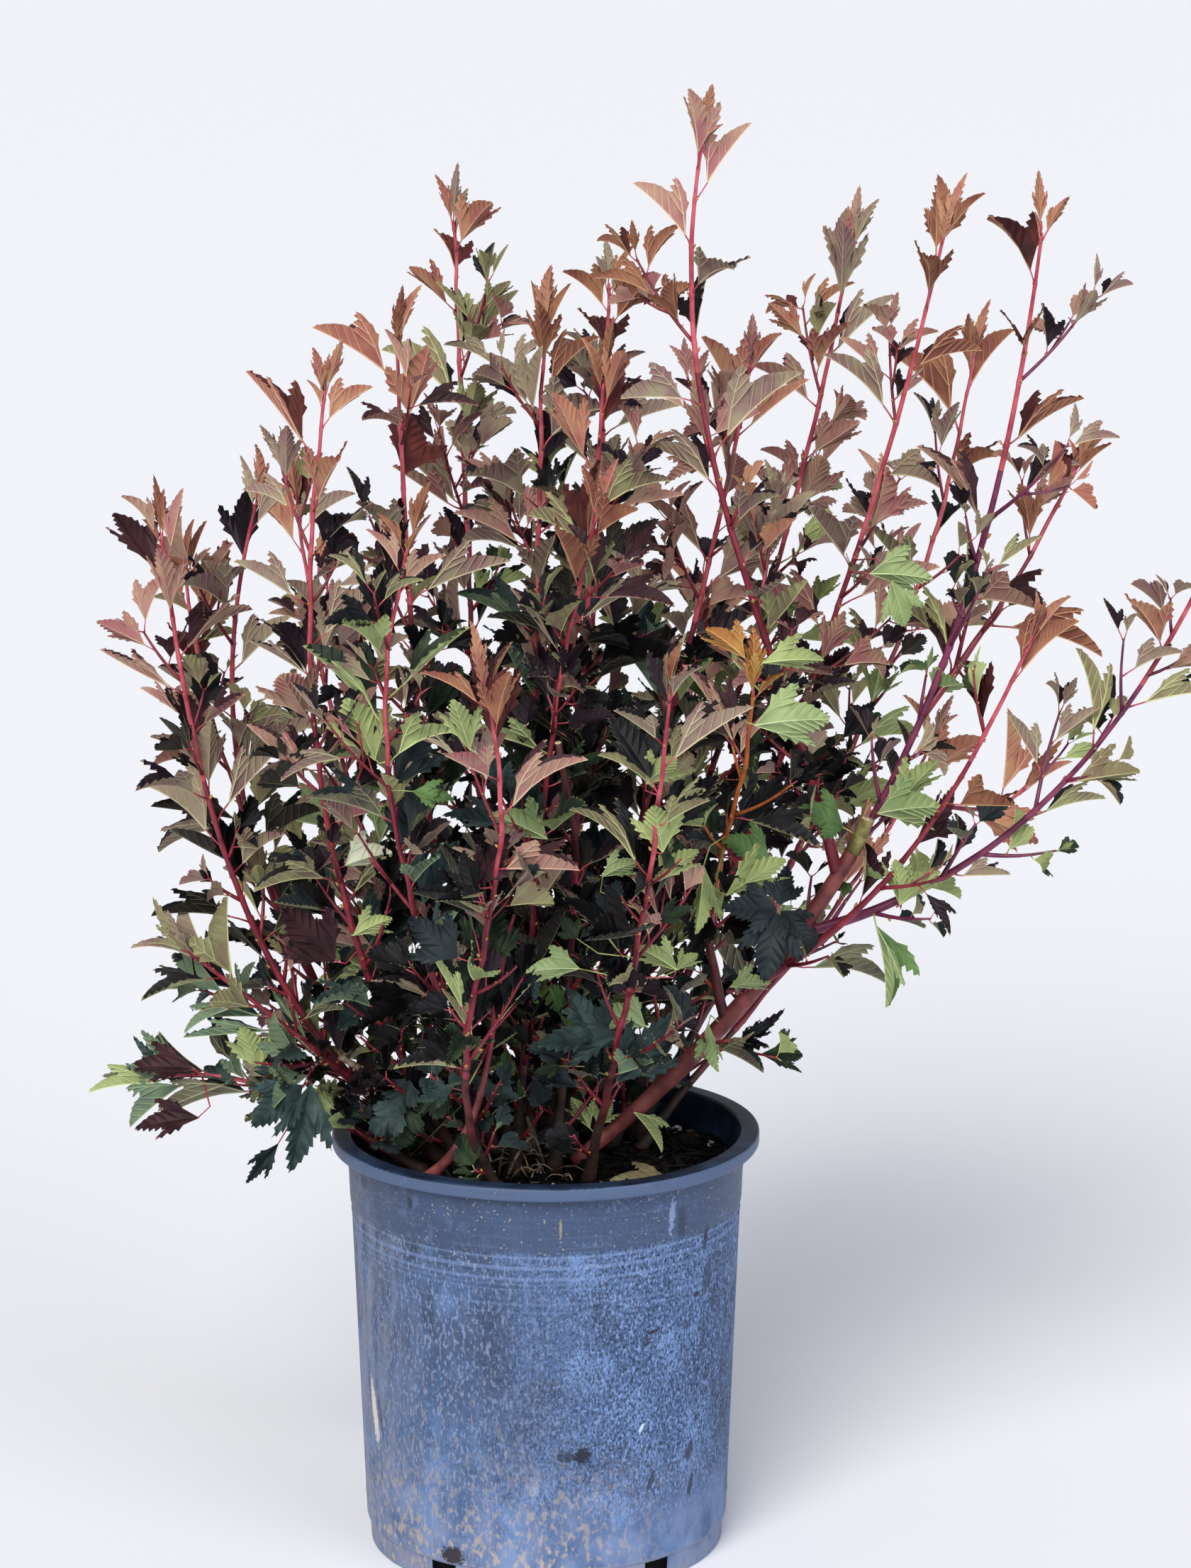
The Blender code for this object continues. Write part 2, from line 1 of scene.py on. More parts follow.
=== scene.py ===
"""Looks of a potted ninebark shrub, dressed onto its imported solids.

The pot, its potting mix, the canes and every twig and leaf are made here at real size.
Canes, twigs and leaves grow by the same rule as the solids that they stand for, carried on
to finer twigs, and keep within their reach. Lengths are metres, Z is up, X is to the right
seen from the front, and the origin is the centre of the pot's flat underside.
"""

import logging
import math
import random
from collections.abc import Sequence
from dataclasses import dataclass, field
from enum import Enum

import bpy
import numpy as np
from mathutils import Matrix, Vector, noise


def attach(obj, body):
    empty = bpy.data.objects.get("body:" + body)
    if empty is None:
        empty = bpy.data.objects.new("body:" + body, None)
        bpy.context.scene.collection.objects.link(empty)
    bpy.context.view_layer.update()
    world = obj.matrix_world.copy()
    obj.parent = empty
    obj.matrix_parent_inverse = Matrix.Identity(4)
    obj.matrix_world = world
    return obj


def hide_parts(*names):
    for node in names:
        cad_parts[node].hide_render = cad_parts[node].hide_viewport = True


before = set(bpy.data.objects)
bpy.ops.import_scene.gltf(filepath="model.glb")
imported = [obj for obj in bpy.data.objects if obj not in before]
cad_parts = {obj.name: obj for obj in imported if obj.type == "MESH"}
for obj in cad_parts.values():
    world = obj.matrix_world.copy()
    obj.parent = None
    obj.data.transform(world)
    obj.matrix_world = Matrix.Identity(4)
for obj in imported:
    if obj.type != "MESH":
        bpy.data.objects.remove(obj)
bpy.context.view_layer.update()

log = logging.getLogger("shrub")

Colour = tuple[float, float, float, float]
Axis = list[tuple[Vector, float]]

# Sizes that the solids share with this dress
GAP = 0.0003
SOIL_TOP = 0.2740
CANE_STEP = 0.070
CANE_TIP_RADIUS = 0.0011
CANE_PULL = 0.38
LENGTH_STEPS = 40
FLARE = 0.45
FLARE_REACH = 0.014
STATION = 0.0330
TURN_PER_STATION = math.radians(137.5)
TWIG_EVERY = 3
TWIG_LEAN = math.radians(40.0)
TWIG_TURN_IN = 0.5
TWIG_LIFT = 0.25
TWIG_BEND = 0.5
TWIG_LENGTH = (0.055, 0.105)
SHORTEST_TWIG = 0.0385
TWIG_SHARE_OF_REST = 0.8
TWIG_RADIUS = 0.0019
TWIG_TIP_RADIUS = 0.0008
LAST_LEAF_REACH = 0.043
GROUND_CLEAR = 0.008
UP = Vector((0.0, 0.0, 1.0))

# The photograph's size in pixels, and where and how the camera stood that took it
PHOTO_WIDTH = 1680
PHOTO_HEIGHT = 2211
EYE = Vector((0.035, -3.0, 1.177))
EYE_PITCH = math.radians(11.87)
LENS = 101.6
SENSOR = 36.0


def line_of_sight(across: float, down: float) -> Vector:
    """Direction in which the camera saw a pixel of the photograph.

    Args:
        across: The pixel, counted from the left.
        down: The pixel, counted from the top.

    Returns:
        The direction, not of unit length.
    """
    focal = LENS / SENSOR * PHOTO_HEIGHT
    right, low = (across - PHOTO_WIDTH / 2) / focal, (down - PHOTO_HEIGHT / 2) / focal
    ahead, drop = math.cos(EYE_PITCH), math.sin(EYE_PITCH)
    return Vector((right, ahead - low * drop, -drop - low * ahead))


def seen_at(across: float, down: float, depth: float) -> Vector:
    """Place that a pixel of the photograph shows, at a depth along Y."""
    way = line_of_sight(across, down)
    return EYE + way * ((depth - EYE.y) / way.y)


def linear(code: str) -> Colour:
    """Turn an sRGB hex colour into linear light.

    Args:
        code: Six hex digits after a hash.

    Returns:
        Linear red, green and blue, with an alpha of one.
    """
    parts = (int(code[start:start + 2], 16) / 255.0 for start in (1, 3, 5))
    red, green, blue = (
        part / 12.92 if part <= 0.04045 else ((part + 0.055) / 1.055) ** 2.4 for part in parts
    )
    return red, green, blue, 1.0


def add_node(tree: bpy.types.NodeTree, kind: str, inputs: dict | None = None, **settings) -> bpy.types.Node:
    """Add one shader node with its settings and what feeds it.

    Args:
        tree: Node tree that the node goes into.
        kind: Blender's name for the type of node.
        inputs: Socket name or number to a plain value, or to the output that feeds it.
        **settings: Properties of the node itself.

    Returns:
        The new node.
    """
    node = tree.nodes.new(kind)
    for name, value in settings.items():
        setattr(node, name, value)
    for socket, value in (inputs or {}).items():
        if isinstance(value, bpy.types.NodeSocket):
            tree.links.new(value, node.inputs[socket])
        else:
            node.inputs[socket].default_value = value
    return node


def start_material(
    name: str, roughness: float, ior: float, gloss: float = 0.5
) -> tuple[bpy.types.Material, bpy.types.Node]:
    """Start a material on the principled shader.

    Args:
        name: Name of the material.
        roughness: Roughness, the same all over.
        ior: Index of refraction.
        gloss: Share of its reflection, where a half is all that the index gives.

    Returns:
        The material and its shader node.
    """
    material = bpy.data.materials.new(name)
    material.use_nodes = True
    shader = material.node_tree.nodes["Principled BSDF"]
    shader.inputs["Roughness"].default_value = roughness
    shader.inputs["IOR"].default_value = ior
    shader.inputs["Specular IOR Level"].default_value = gloss
    return material, shader


@dataclass(frozen=True)
class Tissue:
    """Plant tissue, living or dead: two close tints in soft patches over a fine grain.

    stretch under one draws the grain out upright, and gloss is the share of its reflection.
    """

    name: str
    dark: str
    light: str
    roughness: float = 0.5
    ior: float = 1.40
    patch_mm: float = 30.0
    grain_mm: float = 1.5
    relief_mm: float = 0.05
    stretch: float = 1.0
    gloss: float = 0.5

    def make(self) -> bpy.types.Material:
        """Make the material.

        Returns:
            The finished material.
        """
        material, shader = start_material(self.name, self.roughness, self.ior, self.gloss)
        tree = material.node_tree
        place = add_node(tree, "ShaderNodeTexCoord").outputs["Object"]
        patches = add_node(
            tree, "ShaderNodeTexNoise", {"Vector": place, "Scale": 1000.0 / self.patch_mm, "Detail": 2.0}
        )
        share = add_node(
            tree, "ShaderNodeMapRange",
            {"Value": patches.outputs["Fac"], "From Min": 0.36, "From Max": 0.64},
        )
        tint = add_node(
            tree, "ShaderNodeMix",
            {0: share.outputs["Result"], 6: linear(self.dark), 7: linear(self.light)}, data_type="RGBA",
        )
        tree.links.new(tint.outputs[2], shader.inputs["Base Color"])
        stretched = add_node(
            tree, "ShaderNodeMapping", {"Vector": place, "Scale": (1.0, 1.0, self.stretch)}
        )
        grain = add_node(
            tree, "ShaderNodeTexNoise",
            {"Vector": stretched.outputs["Vector"], "Scale": 1000.0 / self.grain_mm, "Detail": 2.0},
        )
        bump = add_node(
            tree, "ShaderNodeBump",
            {"Height": grain.outputs["Fac"], "Distance": self.relief_mm / 1000.0, "Strength": 0.6},
        )
        tree.links.new(bump.outputs["Normal"], shader.inputs["Normal"])
        return material


class Tint(Enum):
    """Autumn tint of one spray, or the near-black one of painted shade: upper face, underside and veins of
    its leaves.
    """

    COPPER = ("#4a2426", "#6a3632", "#a06059", "#b18466", "#cba388")
    RUSSET = ("#351a1c", "#532a28", "#75433a", "#97684e", "#b98d6c")
    ROSE = ("#2c1b20", "#432a30", "#9c6467", "#ab8a77", "#c9ae94")
    MAUVE = ("#19141a", "#2a2028", "#856566", "#988b74", "#bdb292")
    OLIVE = ("#151619", "#242527", "#7b6a59", "#939268", "#b9bd88")
    # Near-black on upper face and underside alike, dealt where the crown lies in shade: painted shade, not an
    # autumn tint
    DEEP = ("#060507", "#0d0b0e", "#1d191b", "#322f28", "#5a5844")
    SLATE = ("#191f23", "#2b3437", "#58504a", "#7c7c62", "#9a9c78")
    PALE = ("#1f2b24", "#35442f", "#828f5e", "#a3b076", "#c0cc92")
    TEAL = ("#202b2d", "#3c4e4c", "#56695a", "#788c70", "#94aa80")
    BRIGHT = ("#46603b", "#64824f", "#7f9463", "#9caf7c", "#bccb9a")
    AMBER = ("#74421f", "#965826", "#ae6a3c", "#b3944c", "#d8b272")
    CREAM = ("#a9ad88", "#c8ccaa", "#ccd0b0", "#e6e9d4", "#b9c690")
    FALLEN = ("#5c543c", "#7f785c", "#7c7048", "#a0966a", "#b0a678")

    def finishes(self) -> list[Tissue]:
        """Finishes of this tint.

        Returns:
            The tissues of the upper face, the underside and the veins, in that order.
        """
        upper_dark, upper_light, under_dark, under_light, vein = self.value
        stem = "leaf_" + self.name.lower()
        return [
            # A leathery upper face: dark, with a faint soft sheen from the sky
            Tissue(stem + "_upper", upper_dark, upper_light, 0.52, 1.40, 22.0, 1.6, 0.10, gloss=0.20),
            # A dull, felted underside, far lighter, which turns from one hue to another
            Tissue(stem + "_under", under_dark, under_light, 0.70, 1.33, 26.0, 1.2, 0.06),
            # Raised veins, paler than the blade between them
            Tissue(stem + "_vein", vein, vein, 0.58, 1.40, 20.0, 1.0, 0.02),
        ]


class Zone(Enum):
    """Part of the crown, with how often its sprays are dealt each tint, the near-black one being painted
    shade.
    """

    LEADER_TIPS = dict(COPPER=44, RUSSET=24, ROSE=22, MAUVE=10)
    TOP = dict(COPPER=4, RUSSET=6, ROSE=38, MAUVE=35, OLIVE=15, PALE=2)
    UPPER = dict(ROSE=20, MAUVE=36, OLIVE=29, DEEP=8, PALE=5, BRIGHT=2)
    MIDDLE = dict(ROSE=10, MAUVE=24, OLIVE=34, SLATE=6, DEEP=12, PALE=12, BRIGHT=2)
    # In the shaded heart most sprays are dealt the near-black tint of painted shade
    HEART = dict(MAUVE=9, OLIVE=10, SLATE=12, DEEP=60, PALE=4, TEAL=4)
    LOW_LEFT = dict(MAUVE=8, OLIVE=16, SLATE=30, DEEP=5, PALE=16, TEAL=22, BRIGHT=3)
    LOW_RIGHT = dict(MAUVE=10, OLIVE=20, SLATE=30, DEEP=8, PALE=20, TEAL=7, BRIGHT=5)


class Wood(Enum):
    """Bark of a cane, by its age and hue."""

    WOODY = Tissue("bark_woody", "#1f1413", "#3a2621", 0.70, 1.45, 9.0, 0.9, 0.25, 0.25)
    WINE = Tissue("bark_wine", "#3c181c", "#60292d", 0.50, 1.45, 12.0, 0.9, 0.15, 0.25)
    BOUGH = Tissue("bark_bough", "#5a282c", "#8e4c4a", 0.52, 1.45, 16.0, 0.9, 0.18, 0.25)
    CRIMSON = Tissue("bark_crimson", "#621a29", "#8a2c3c", 0.40, 1.45, 14.0, 0.8, 0.10, 0.3)
    ROSY = Tissue("bark_rosy", "#93303f", "#bf5763", 0.40, 1.45, 14.0, 0.8, 0.08, 0.3)
    PURPLE = Tissue("bark_purple", "#541c3c", "#7c3252", 0.38, 1.45, 14.0, 0.8, 0.08, 0.3)
    AMBER = Tissue("bark_amber", "#8f411b", "#b9652c", 0.42, 1.45, 14.0, 0.8, 0.10, 0.3)
    STUB = Tissue("bark_old_stub", "#6a6438", "#98915c", 0.60, 1.45, 6.0, 0.9, 0.20, 0.3)
    DEAD = Tissue("bark_dead", "#4d4239", "#8a7a6a", 0.80, 1.45, 5.0, 0.9, 0.30, 0.3)
    CUT = Tissue("cut_wood", "#b39a78", "#dccbab", 0.75, 1.45, 2.0, 0.5, 0.10)
    BUD = Tissue("bud_scale", "#8e6c3c", "#c0985c", 0.55, 1.45, 3.0, 0.5, 0.05)
    GREEN = Tissue("petiole_green", "#8a9a50", "#b0b878", 0.50, 1.40, 9.0, 0.8, 0.03)


WOODS = list(Wood)


@dataclass
class MeshParts:
    """Points, triangles and finishes gathered for one joined piece."""

    points: list[np.ndarray] = field(default_factory=list)
    faces: list[np.ndarray] = field(default_factory=list)
    finishes: list[np.ndarray] = field(default_factory=list)
    count: int = 0

    def add(self, points: np.ndarray, faces: np.ndarray, finish: int | np.ndarray) -> None:
        """Add a part.

        Args:
            points: Places of its points, one row each.
            faces: Triangles, as rows of point numbers within the part.
            finish: Finish number of every face, or one for them all.
        """
        self.points.append(points)
        self.faces.append(faces + self.count)
        self.finishes.append(np.broadcast_to(np.asarray(finish, np.int32), (len(faces),)))
        self.count += len(points)

    def build(self, name: str, materials: Sequence[bpy.types.Material], smooth: bool) -> bpy.types.Object:
        """Make the joined piece and let it ride on the part's one body.

        Args:
            name: Name of the piece.
            materials: Materials in the order of the finish numbers.
            smooth: Whether its faces are shaded smooth.

        Returns:
            The new object.
        """
        points = np.concatenate(self.points).astype(np.float32)
        faces = np.concatenate(self.faces).astype(np.int32)
        mesh = bpy.data.meshes.new(name)
        mesh.vertices.add(len(points))
        mesh.vertices.foreach_set("co", points.ravel())
        mesh.loops.add(faces.size)
        mesh.loops.foreach_set("vertex_index", faces.ravel())
        mesh.polygons.add(len(faces))
        mesh.polygons.foreach_set("loop_start", np.arange(0, faces.size, 3, dtype=np.int32))
        for material in materials:
            mesh.materials.append(material)
        mesh.polygons.foreach_set("material_index", np.concatenate(self.finishes).astype(np.int32))
        mesh.polygons.foreach_set("use_smooth", np.full(len(faces), smooth))
        mesh.update(calc_edges=True)
        mesh.validate()
        item = bpy.data.objects.new(name, mesh)
        bpy.context.scene.collection.objects.link(item)
        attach(item, "root")
        log.info("%s: %d triangles", name, len(faces))
        return item


# A box of unit half size
BOX_CORNERS = np.array([(x, y, z) for x in (-1, 1) for y in (-1, 1) for z in (-1, 1)], float)
BOX_FACES = np.array([
    (0, 1, 3), (0, 3, 2), (4, 6, 7), (4, 7, 5), (0, 4, 5), (0, 5, 1),
    (2, 3, 7), (2, 7, 6), (0, 2, 6), (0, 6, 4), (1, 5, 7), (1, 7, 3),
])


def ring_faces(rows: int, sides: int) -> np.ndarray:
    """Triangles of a closed mesh of rings, whose two end points come after all the rings.

    Args:
        rows: Number of rings.
        sides: Corners of a ring.

    Returns:
        Triangles of the walls, then of the cap at the start and the cap at the end.
    """
    step, turned = np.arange(sides), (np.arange(sides) + 1) % sides
    first, last = np.arange(rows - 1)[:, None] * sides, (rows - 1) * sides
    low, after = (first + step).ravel(), (first + turned).ravel()
    start, end = np.full(sides, rows * sides), np.full(sides, rows * sides + 1)
    return np.concatenate([
        np.stack([low, after, after + sides], 1), np.stack([low, after + sides, low + sides], 1),
        np.stack([start, turned, step], 1), np.stack([end, last + step, last + turned], 1),
    ])


def tube(
    places: Sequence[Sequence[float]], radii: Sequence, sides: int, across: Vector
) -> tuple[np.ndarray, np.ndarray]:
    """Closed round tube along a path.

    Args:
        places: Centre points of its sections.
        radii: Radius at each centre point, or one for each corner of each section.
        sides: Corners of a section.
        across: Direction that the first corner of each section faces.

    Returns:
        Points and triangles of the tube.
    """
    path, radii = np.array([tuple(place) for place in places]), np.asarray(radii)
    along = np.gradient(path, axis=0)
    along /= np.linalg.norm(along, axis=1)[:, None]
    side = np.asarray(across) - along * (along @ np.asarray(across))[:, None]
    side /= np.linalg.norm(side, axis=1)[:, None]
    other = np.cross(along, side)
    turns = np.arange(sides) * math.tau / sides
    ring = side[:, None] * np.cos(turns)[None, :, None] + other[:, None] * np.sin(turns)[None, :, None]
    reach = radii if radii.ndim == 2 else np.repeat(radii[:, None], sides, axis=1)
    corners = (path[:, None] + ring * reach[:, :, None]).reshape(-1, 3)
    return np.vstack([corners, path[0], path[-1]]), ring_faces(len(path), sides)


@dataclass(frozen=True)
class Outline:
    """Outline of a three-lobed blade, in shares of its length from base to tip."""

    side_angle: float
    side_reach: float
    sinus: tuple[float, float]
    wedge: tuple[float, float]
    centre_bulge: float
    side_bulge: float
    tooth: float
    centre_teeth: int
    side_teeth: int
    fine_veins: bool


class Form(Enum):
    """Kind of blade, by where on the shoot it grows."""

    LONG = Outline(30.0, 0.75, (0.130, 0.445), (0.165, 0.240), 0.066, 0.052, 0.034, 5, 3, True)
    BROAD = Outline(35.0, 0.77, (0.165, 0.490), (0.205, 0.230), 0.082, 0.060, 0.034, 5, 3, True)
    YOUNG = Outline(23.0, 0.60, (0.104, 0.375), (0.110, 0.190), 0.058, 0.034, 0.028, 4, 2, True)
    SMALL = Outline(42.0, 0.74, (0.220, 0.620), (0.235, 0.150), 0.130, 0.085, 0.046, 3, 2, False)


@dataclass
class Leaf:
    """One leaf: where its stalk starts, where its blade lies and how that is bent."""

    foot: Vector
    base: Vector
    along: Vector
    upper: Vector
    length: float
    form: Form
    tint: Tint
    fold: float
    curl: float
    twist: float
    wide: float


class Blade:
    """Pattern of one kind of blade: two sheets that share a toothed rim, and raised veins."""

    # Shares of the blade's length: thickness, height of the pleats between veins, and the veins' height
    thickness = 0.006
    pleat = 0.038
    rib_height = 0.010
    rib_end_height = 0.0005

    # Half widths at the base of a main vein and a side vein, and at both ends of a fine one
    main_half = 0.0092
    side_half = 0.0074
    fine_halves = (0.0042, 0.0010)

    def __init__(self, outline: Outline) -> None:
        """Lay out the pattern.

        Args:
            outline: Shape of the blade.
        """
        self.outline = outline
        self.spots: list[tuple[float, float, float, float]] = []
        self.rim: list[bool] = []
        self.upper_faces: list[tuple[int, int, int]] = []
        self.rows: list[list[int]] = []
        self.branches: list[tuple[int, int]] = []
        self.lay_out()
        self.add_sheets()

    def spot(self, x: float, y: float, ruffle: float, rim: bool = False) -> int:
        """Add a point of the pattern and return its number."""
        self.spots.append((x, y, ruffle, 0.0))
        self.rim.append(rim)
        return len(self.spots) - 1

    def toothed(
        self, start: tuple[float, float], end: tuple[float, float], bulge: float, teeth: int, side: int
    ) -> list[int]:
        """Edge with teeth that lean towards its end.

        Args:
            start: Where the edge starts.
            end: Where it ends, at a lobe's tip.
            bulge: How far it bulges from a straight line.
            teeth: Number of teeth.
            side: One where outward is to the right of the way along, minus one where it is left.

        Returns:
            Numbers of a tooth's tip and the notch after it, in turn.
        """
        run = Vector((end[0] - start[0], end[1] - start[1]))
        ahead = run.normalized()
        out = Vector((ahead.y, -ahead.x)) * side
        numbers = []
        for tooth in range(teeth):
            for place, stand, ruffle in ((tooth + 0.72, 1.0, 0.0), (tooth + 1.0, -0.75, 1.0)):
                share = place / (teeth + 0.5)
                depth = self.outline.tooth * (1.0 - 0.5 * share) * stand
                spot = Vector(start) + run * share
                spot += out * (bulge * math.sin(math.pi * share ** 0.62) + depth)
                spot += ahead * max(0.0, depth) * 0.6
                numbers.append(self.spot(spot.x, spot.y, ruffle, True))
        return numbers

    def half(self, vein: list[int], lead: list[int], edge: list[int], side: int) -> None:
        """Face the blade between a vein and the edge on one side of it.

        Args:
            vein: Points of the vein from base to tip.
            lead: Points of the edge from the base to its first notch.
            edge: Teeth and notches in turn.
            side: One where the edge is to the right of the vein, minus one where it is left.
        """
        faces = [(vein[1], a, b) for a, b in zip(lead, lead[1:])]
        before = lead[-1]
        for number, spot in enumerate(vein[1:-1]):
            tooth, notch = edge[2 * number], edge[2 * number + 1]
            faces += [(spot, before, tooth), (spot, tooth, notch), (spot, notch, vein[number + 2])]
            self.branches.append((spot, tooth))
            before = notch
        self.upper_faces += faces if side > 0 else [(a, c, b) for a, b, c in faces]

    def lay_out(self) -> None:
        """Place veins and edges of the three lobes."""
        shape = self.outline
        base, tip = self.spot(0.0, 0.0, 0.0, True), self.spot(0.0, 1.0, 0.0, True)
        low = shape.sinus[1] * 0.66
        middle = [base]
        for number in range(shape.centre_teeth):
            share = number / (shape.centre_teeth - 1)
            middle.append(self.spot(0.0, low + (0.88 - low) * share ** 0.92, 0.0))
        middle.append(tip)
        self.rows.append(middle)
        angle = math.radians(shape.side_angle)
        for side in (1, -1):
            ahead = Vector((side * math.sin(angle), math.cos(angle)))
            lobe = ahead * shape.side_reach
            vein = [base]
            for number in range(shape.side_teeth):
                share = 0.36 + 0.46 * number / max(1, shape.side_teeth - 1)
                vein.append(self.spot(lobe.x * share, lobe.y * share, 0.1))
            vein.append(self.spot(lobe.x, lobe.y, 0.0, True))
            self.rows.append(vein)
            sinus = (side * shape.sinus[0], shape.sinus[1])
            wedge = (side * shape.wedge[0], shape.wedge[1])
            shared = [base, self.spot(sinus[0] * 0.5, sinus[1] * 0.5, 0.9), self.spot(*sinus, 1.3, True)]
            centre = self.toothed(sinus, (0.0, 1.0), shape.centre_bulge, shape.centre_teeth, side)
            inner = self.toothed(sinus, lobe[:], shape.side_bulge * 0.3, shape.side_teeth, -side)
            outer = self.toothed(wedge, lobe[:], shape.side_bulge, shape.side_teeth, side)
            self.half(middle, shared, centre, side)
            self.half(vein, shared, inner, -side)
            self.half(vein, [base, self.spot(*wedge, 0.5, True)], outer, side)

    def rib(self, ends: tuple[int, int], halves: Sequence[float], heights: Sequence[float]) -> None:
        """Raise a vein from the underside between two points, as a roof of four faces.

        Args:
            ends: Numbers of the two points.
            halves: Half its width at each.
            heights: How far it stands out at each.
        """
        a, b = (self.spots[number] for number in ends)
        ahead = Vector((b[0] - a[0], b[1] - a[1])).normalized()
        first = len(self.spots)
        for (x, y, ruffle, _), wide, high in zip((a, b), halves, heights):
            for stand in (-1, 0, 1):
                drop = -(self.thickness / 2 + high) if stand == 0 else 0.0
                self.spots.append((x + ahead.y * wide * stand, y - ahead.x * wide * stand, ruffle, drop))
        left, ridge, right, left_end, ridge_end, right_end = range(first, first + 6)
        self.rib_faces += [
            (ridge, ridge_end, right_end), (ridge, right_end, right),
            (ridge, left_end, ridge_end), (ridge, left, left_end),
        ]

    def add_sheets(self) -> None:
        """Part the two sheets inside the rim and raise the veins."""
        half = self.thickness / 2
        twin = {}
        for number, on_rim in enumerate(list(self.rim)):
            if not on_rim:
                x, y, ruffle, _ = self.spots[number]
                self.spots[number] = (x, y, ruffle, half)
                twin[number] = len(self.spots)
                self.spots.append((x, y, ruffle, -half))
        self.under_faces = [
            tuple(twin.get(number, number) for number in (a, c, b)) for a, b, c in self.upper_faces
        ]
        self.rib_faces: list[tuple[int, int, int]] = []
        for number, row in enumerate(self.rows):
            wide = self.main_half if number == 0 else self.side_half
            for step, ends in enumerate(zip(row, row[1:])):
                falls = [1.0 - 0.75 * place / (len(row) - 1) for place in (step, step + 1)]
                self.rib(ends, [wide * fall for fall in falls], [self.rib_height * fall for fall in falls])
        if self.outline.fine_veins:
            for ends in self.branches:
                self.rib(ends, self.fine_halves, (self.rib_height * 0.4, self.rib_end_height))
        self.faces = np.array(self.upper_faces + self.under_faces + self.rib_faces, np.int64)
        kinds = [0] * len(self.upper_faces) + [1] * len(self.under_faces) + [2] * len(self.rib_faces)
        self.kinds = np.array(kinds, np.int64)
        self.grid = np.array(self.spots)

    def placed(self, leaves: Sequence[Leaf]) -> tuple[np.ndarray, np.ndarray, np.ndarray]:
        """Bend the pattern into leaves.

        Args:
            leaves: The leaves to make, all of this kind.

        Returns:
            Points, triangles and finish numbers of them all.
        """
        tints = list(Tint)
        size, fold, curl, twist, wide = (
            np.array([getattr(leaf, name) for leaf in leaves])[:, None]
            for name in ("length", "fold", "curl", "twist", "wide")
        )
        along, upper = (
            np.array([tuple(getattr(leaf, name)) for leaf in leaves]) for name in ("along", "upper")
        )
        across = np.cross(along, upper)
        across /= np.linalg.norm(across, axis=1)[:, None]
        normal = np.cross(across, along)
        x, y, ruffle, drop = self.grid.T[:, None, :]
        x = x * wide
        z = np.abs(x) * np.sin(fold) + ruffle * self.pleat * (0.4 + y) + drop
        x = x * np.cos(fold)
        turn = twist * y
        x, z = x * np.cos(turn) - z * np.sin(turn), x * np.sin(turn) + z * np.cos(turn)
        curl = np.where(np.abs(curl) < 1e-3, 1e-3, curl)
        angle = curl * y
        y = np.sin(angle) / curl + z * np.sin(angle)
        z = -(1.0 - np.cos(angle)) / curl + z * np.cos(angle)
        bases = np.array([tuple(leaf.base) for leaf in leaves])
        points = bases[:, None] + (
            across[:, None] * (x * size)[..., None]
            + along[:, None] * (y * size)[..., None]
            + normal[:, None] * (z * size)[..., None]
        )
        shifts = np.arange(len(leaves))[:, None, None] * len(self.grid)
        faces = (self.faces[None] + shifts).reshape(-1, 3)
        tint_numbers = np.array([tints.index(leaf.tint) for leaf in leaves])[:, None]
        return points.reshape(-1, 3), faces, (self.kinds[None] + 3 * tint_numbers).ravel()


@dataclass(frozen=True)
class Cane:
    """One shoot, by the same rule and sizes as its solids.

    foot is a place (x, y) on the soil, or the cane that it springs from and the share of that
    cane's length. Angles are degrees: rise and end_rise are above level at foot and tip, and
    turn and end_turn anticlockwise about Z from the straight line between the two. leafy is how
    thickly it is set with leaves.
    """

    name: str
    foot: tuple
    tip: tuple[float, float, float]
    rise: float
    end_rise: float
    radius: float
    bare: float
    turn: float = 0.0
    end_turn: float = 0.0
    spread: float = 0.070
    limb: bool = True
    wood: Wood = Wood.CRIMSON
    leafy: float = 1.0

    def branches(self) -> bool:
        """Whether it springs from another cane, and not from the soil."""
        return isinstance(self.foot[0], str)

    def region(self) -> str:
        """Name of the part of the crown that the shoot belongs to."""
        x, y, _ = self.tip
        if y > 0.15:
            return "back_left" if x < 0.08 else "back_right"
        if x < -0.12:
            return "left"
        if x < 0.03:
            return "centre_left"
        return "centre_right" if x < 0.20 else "right"


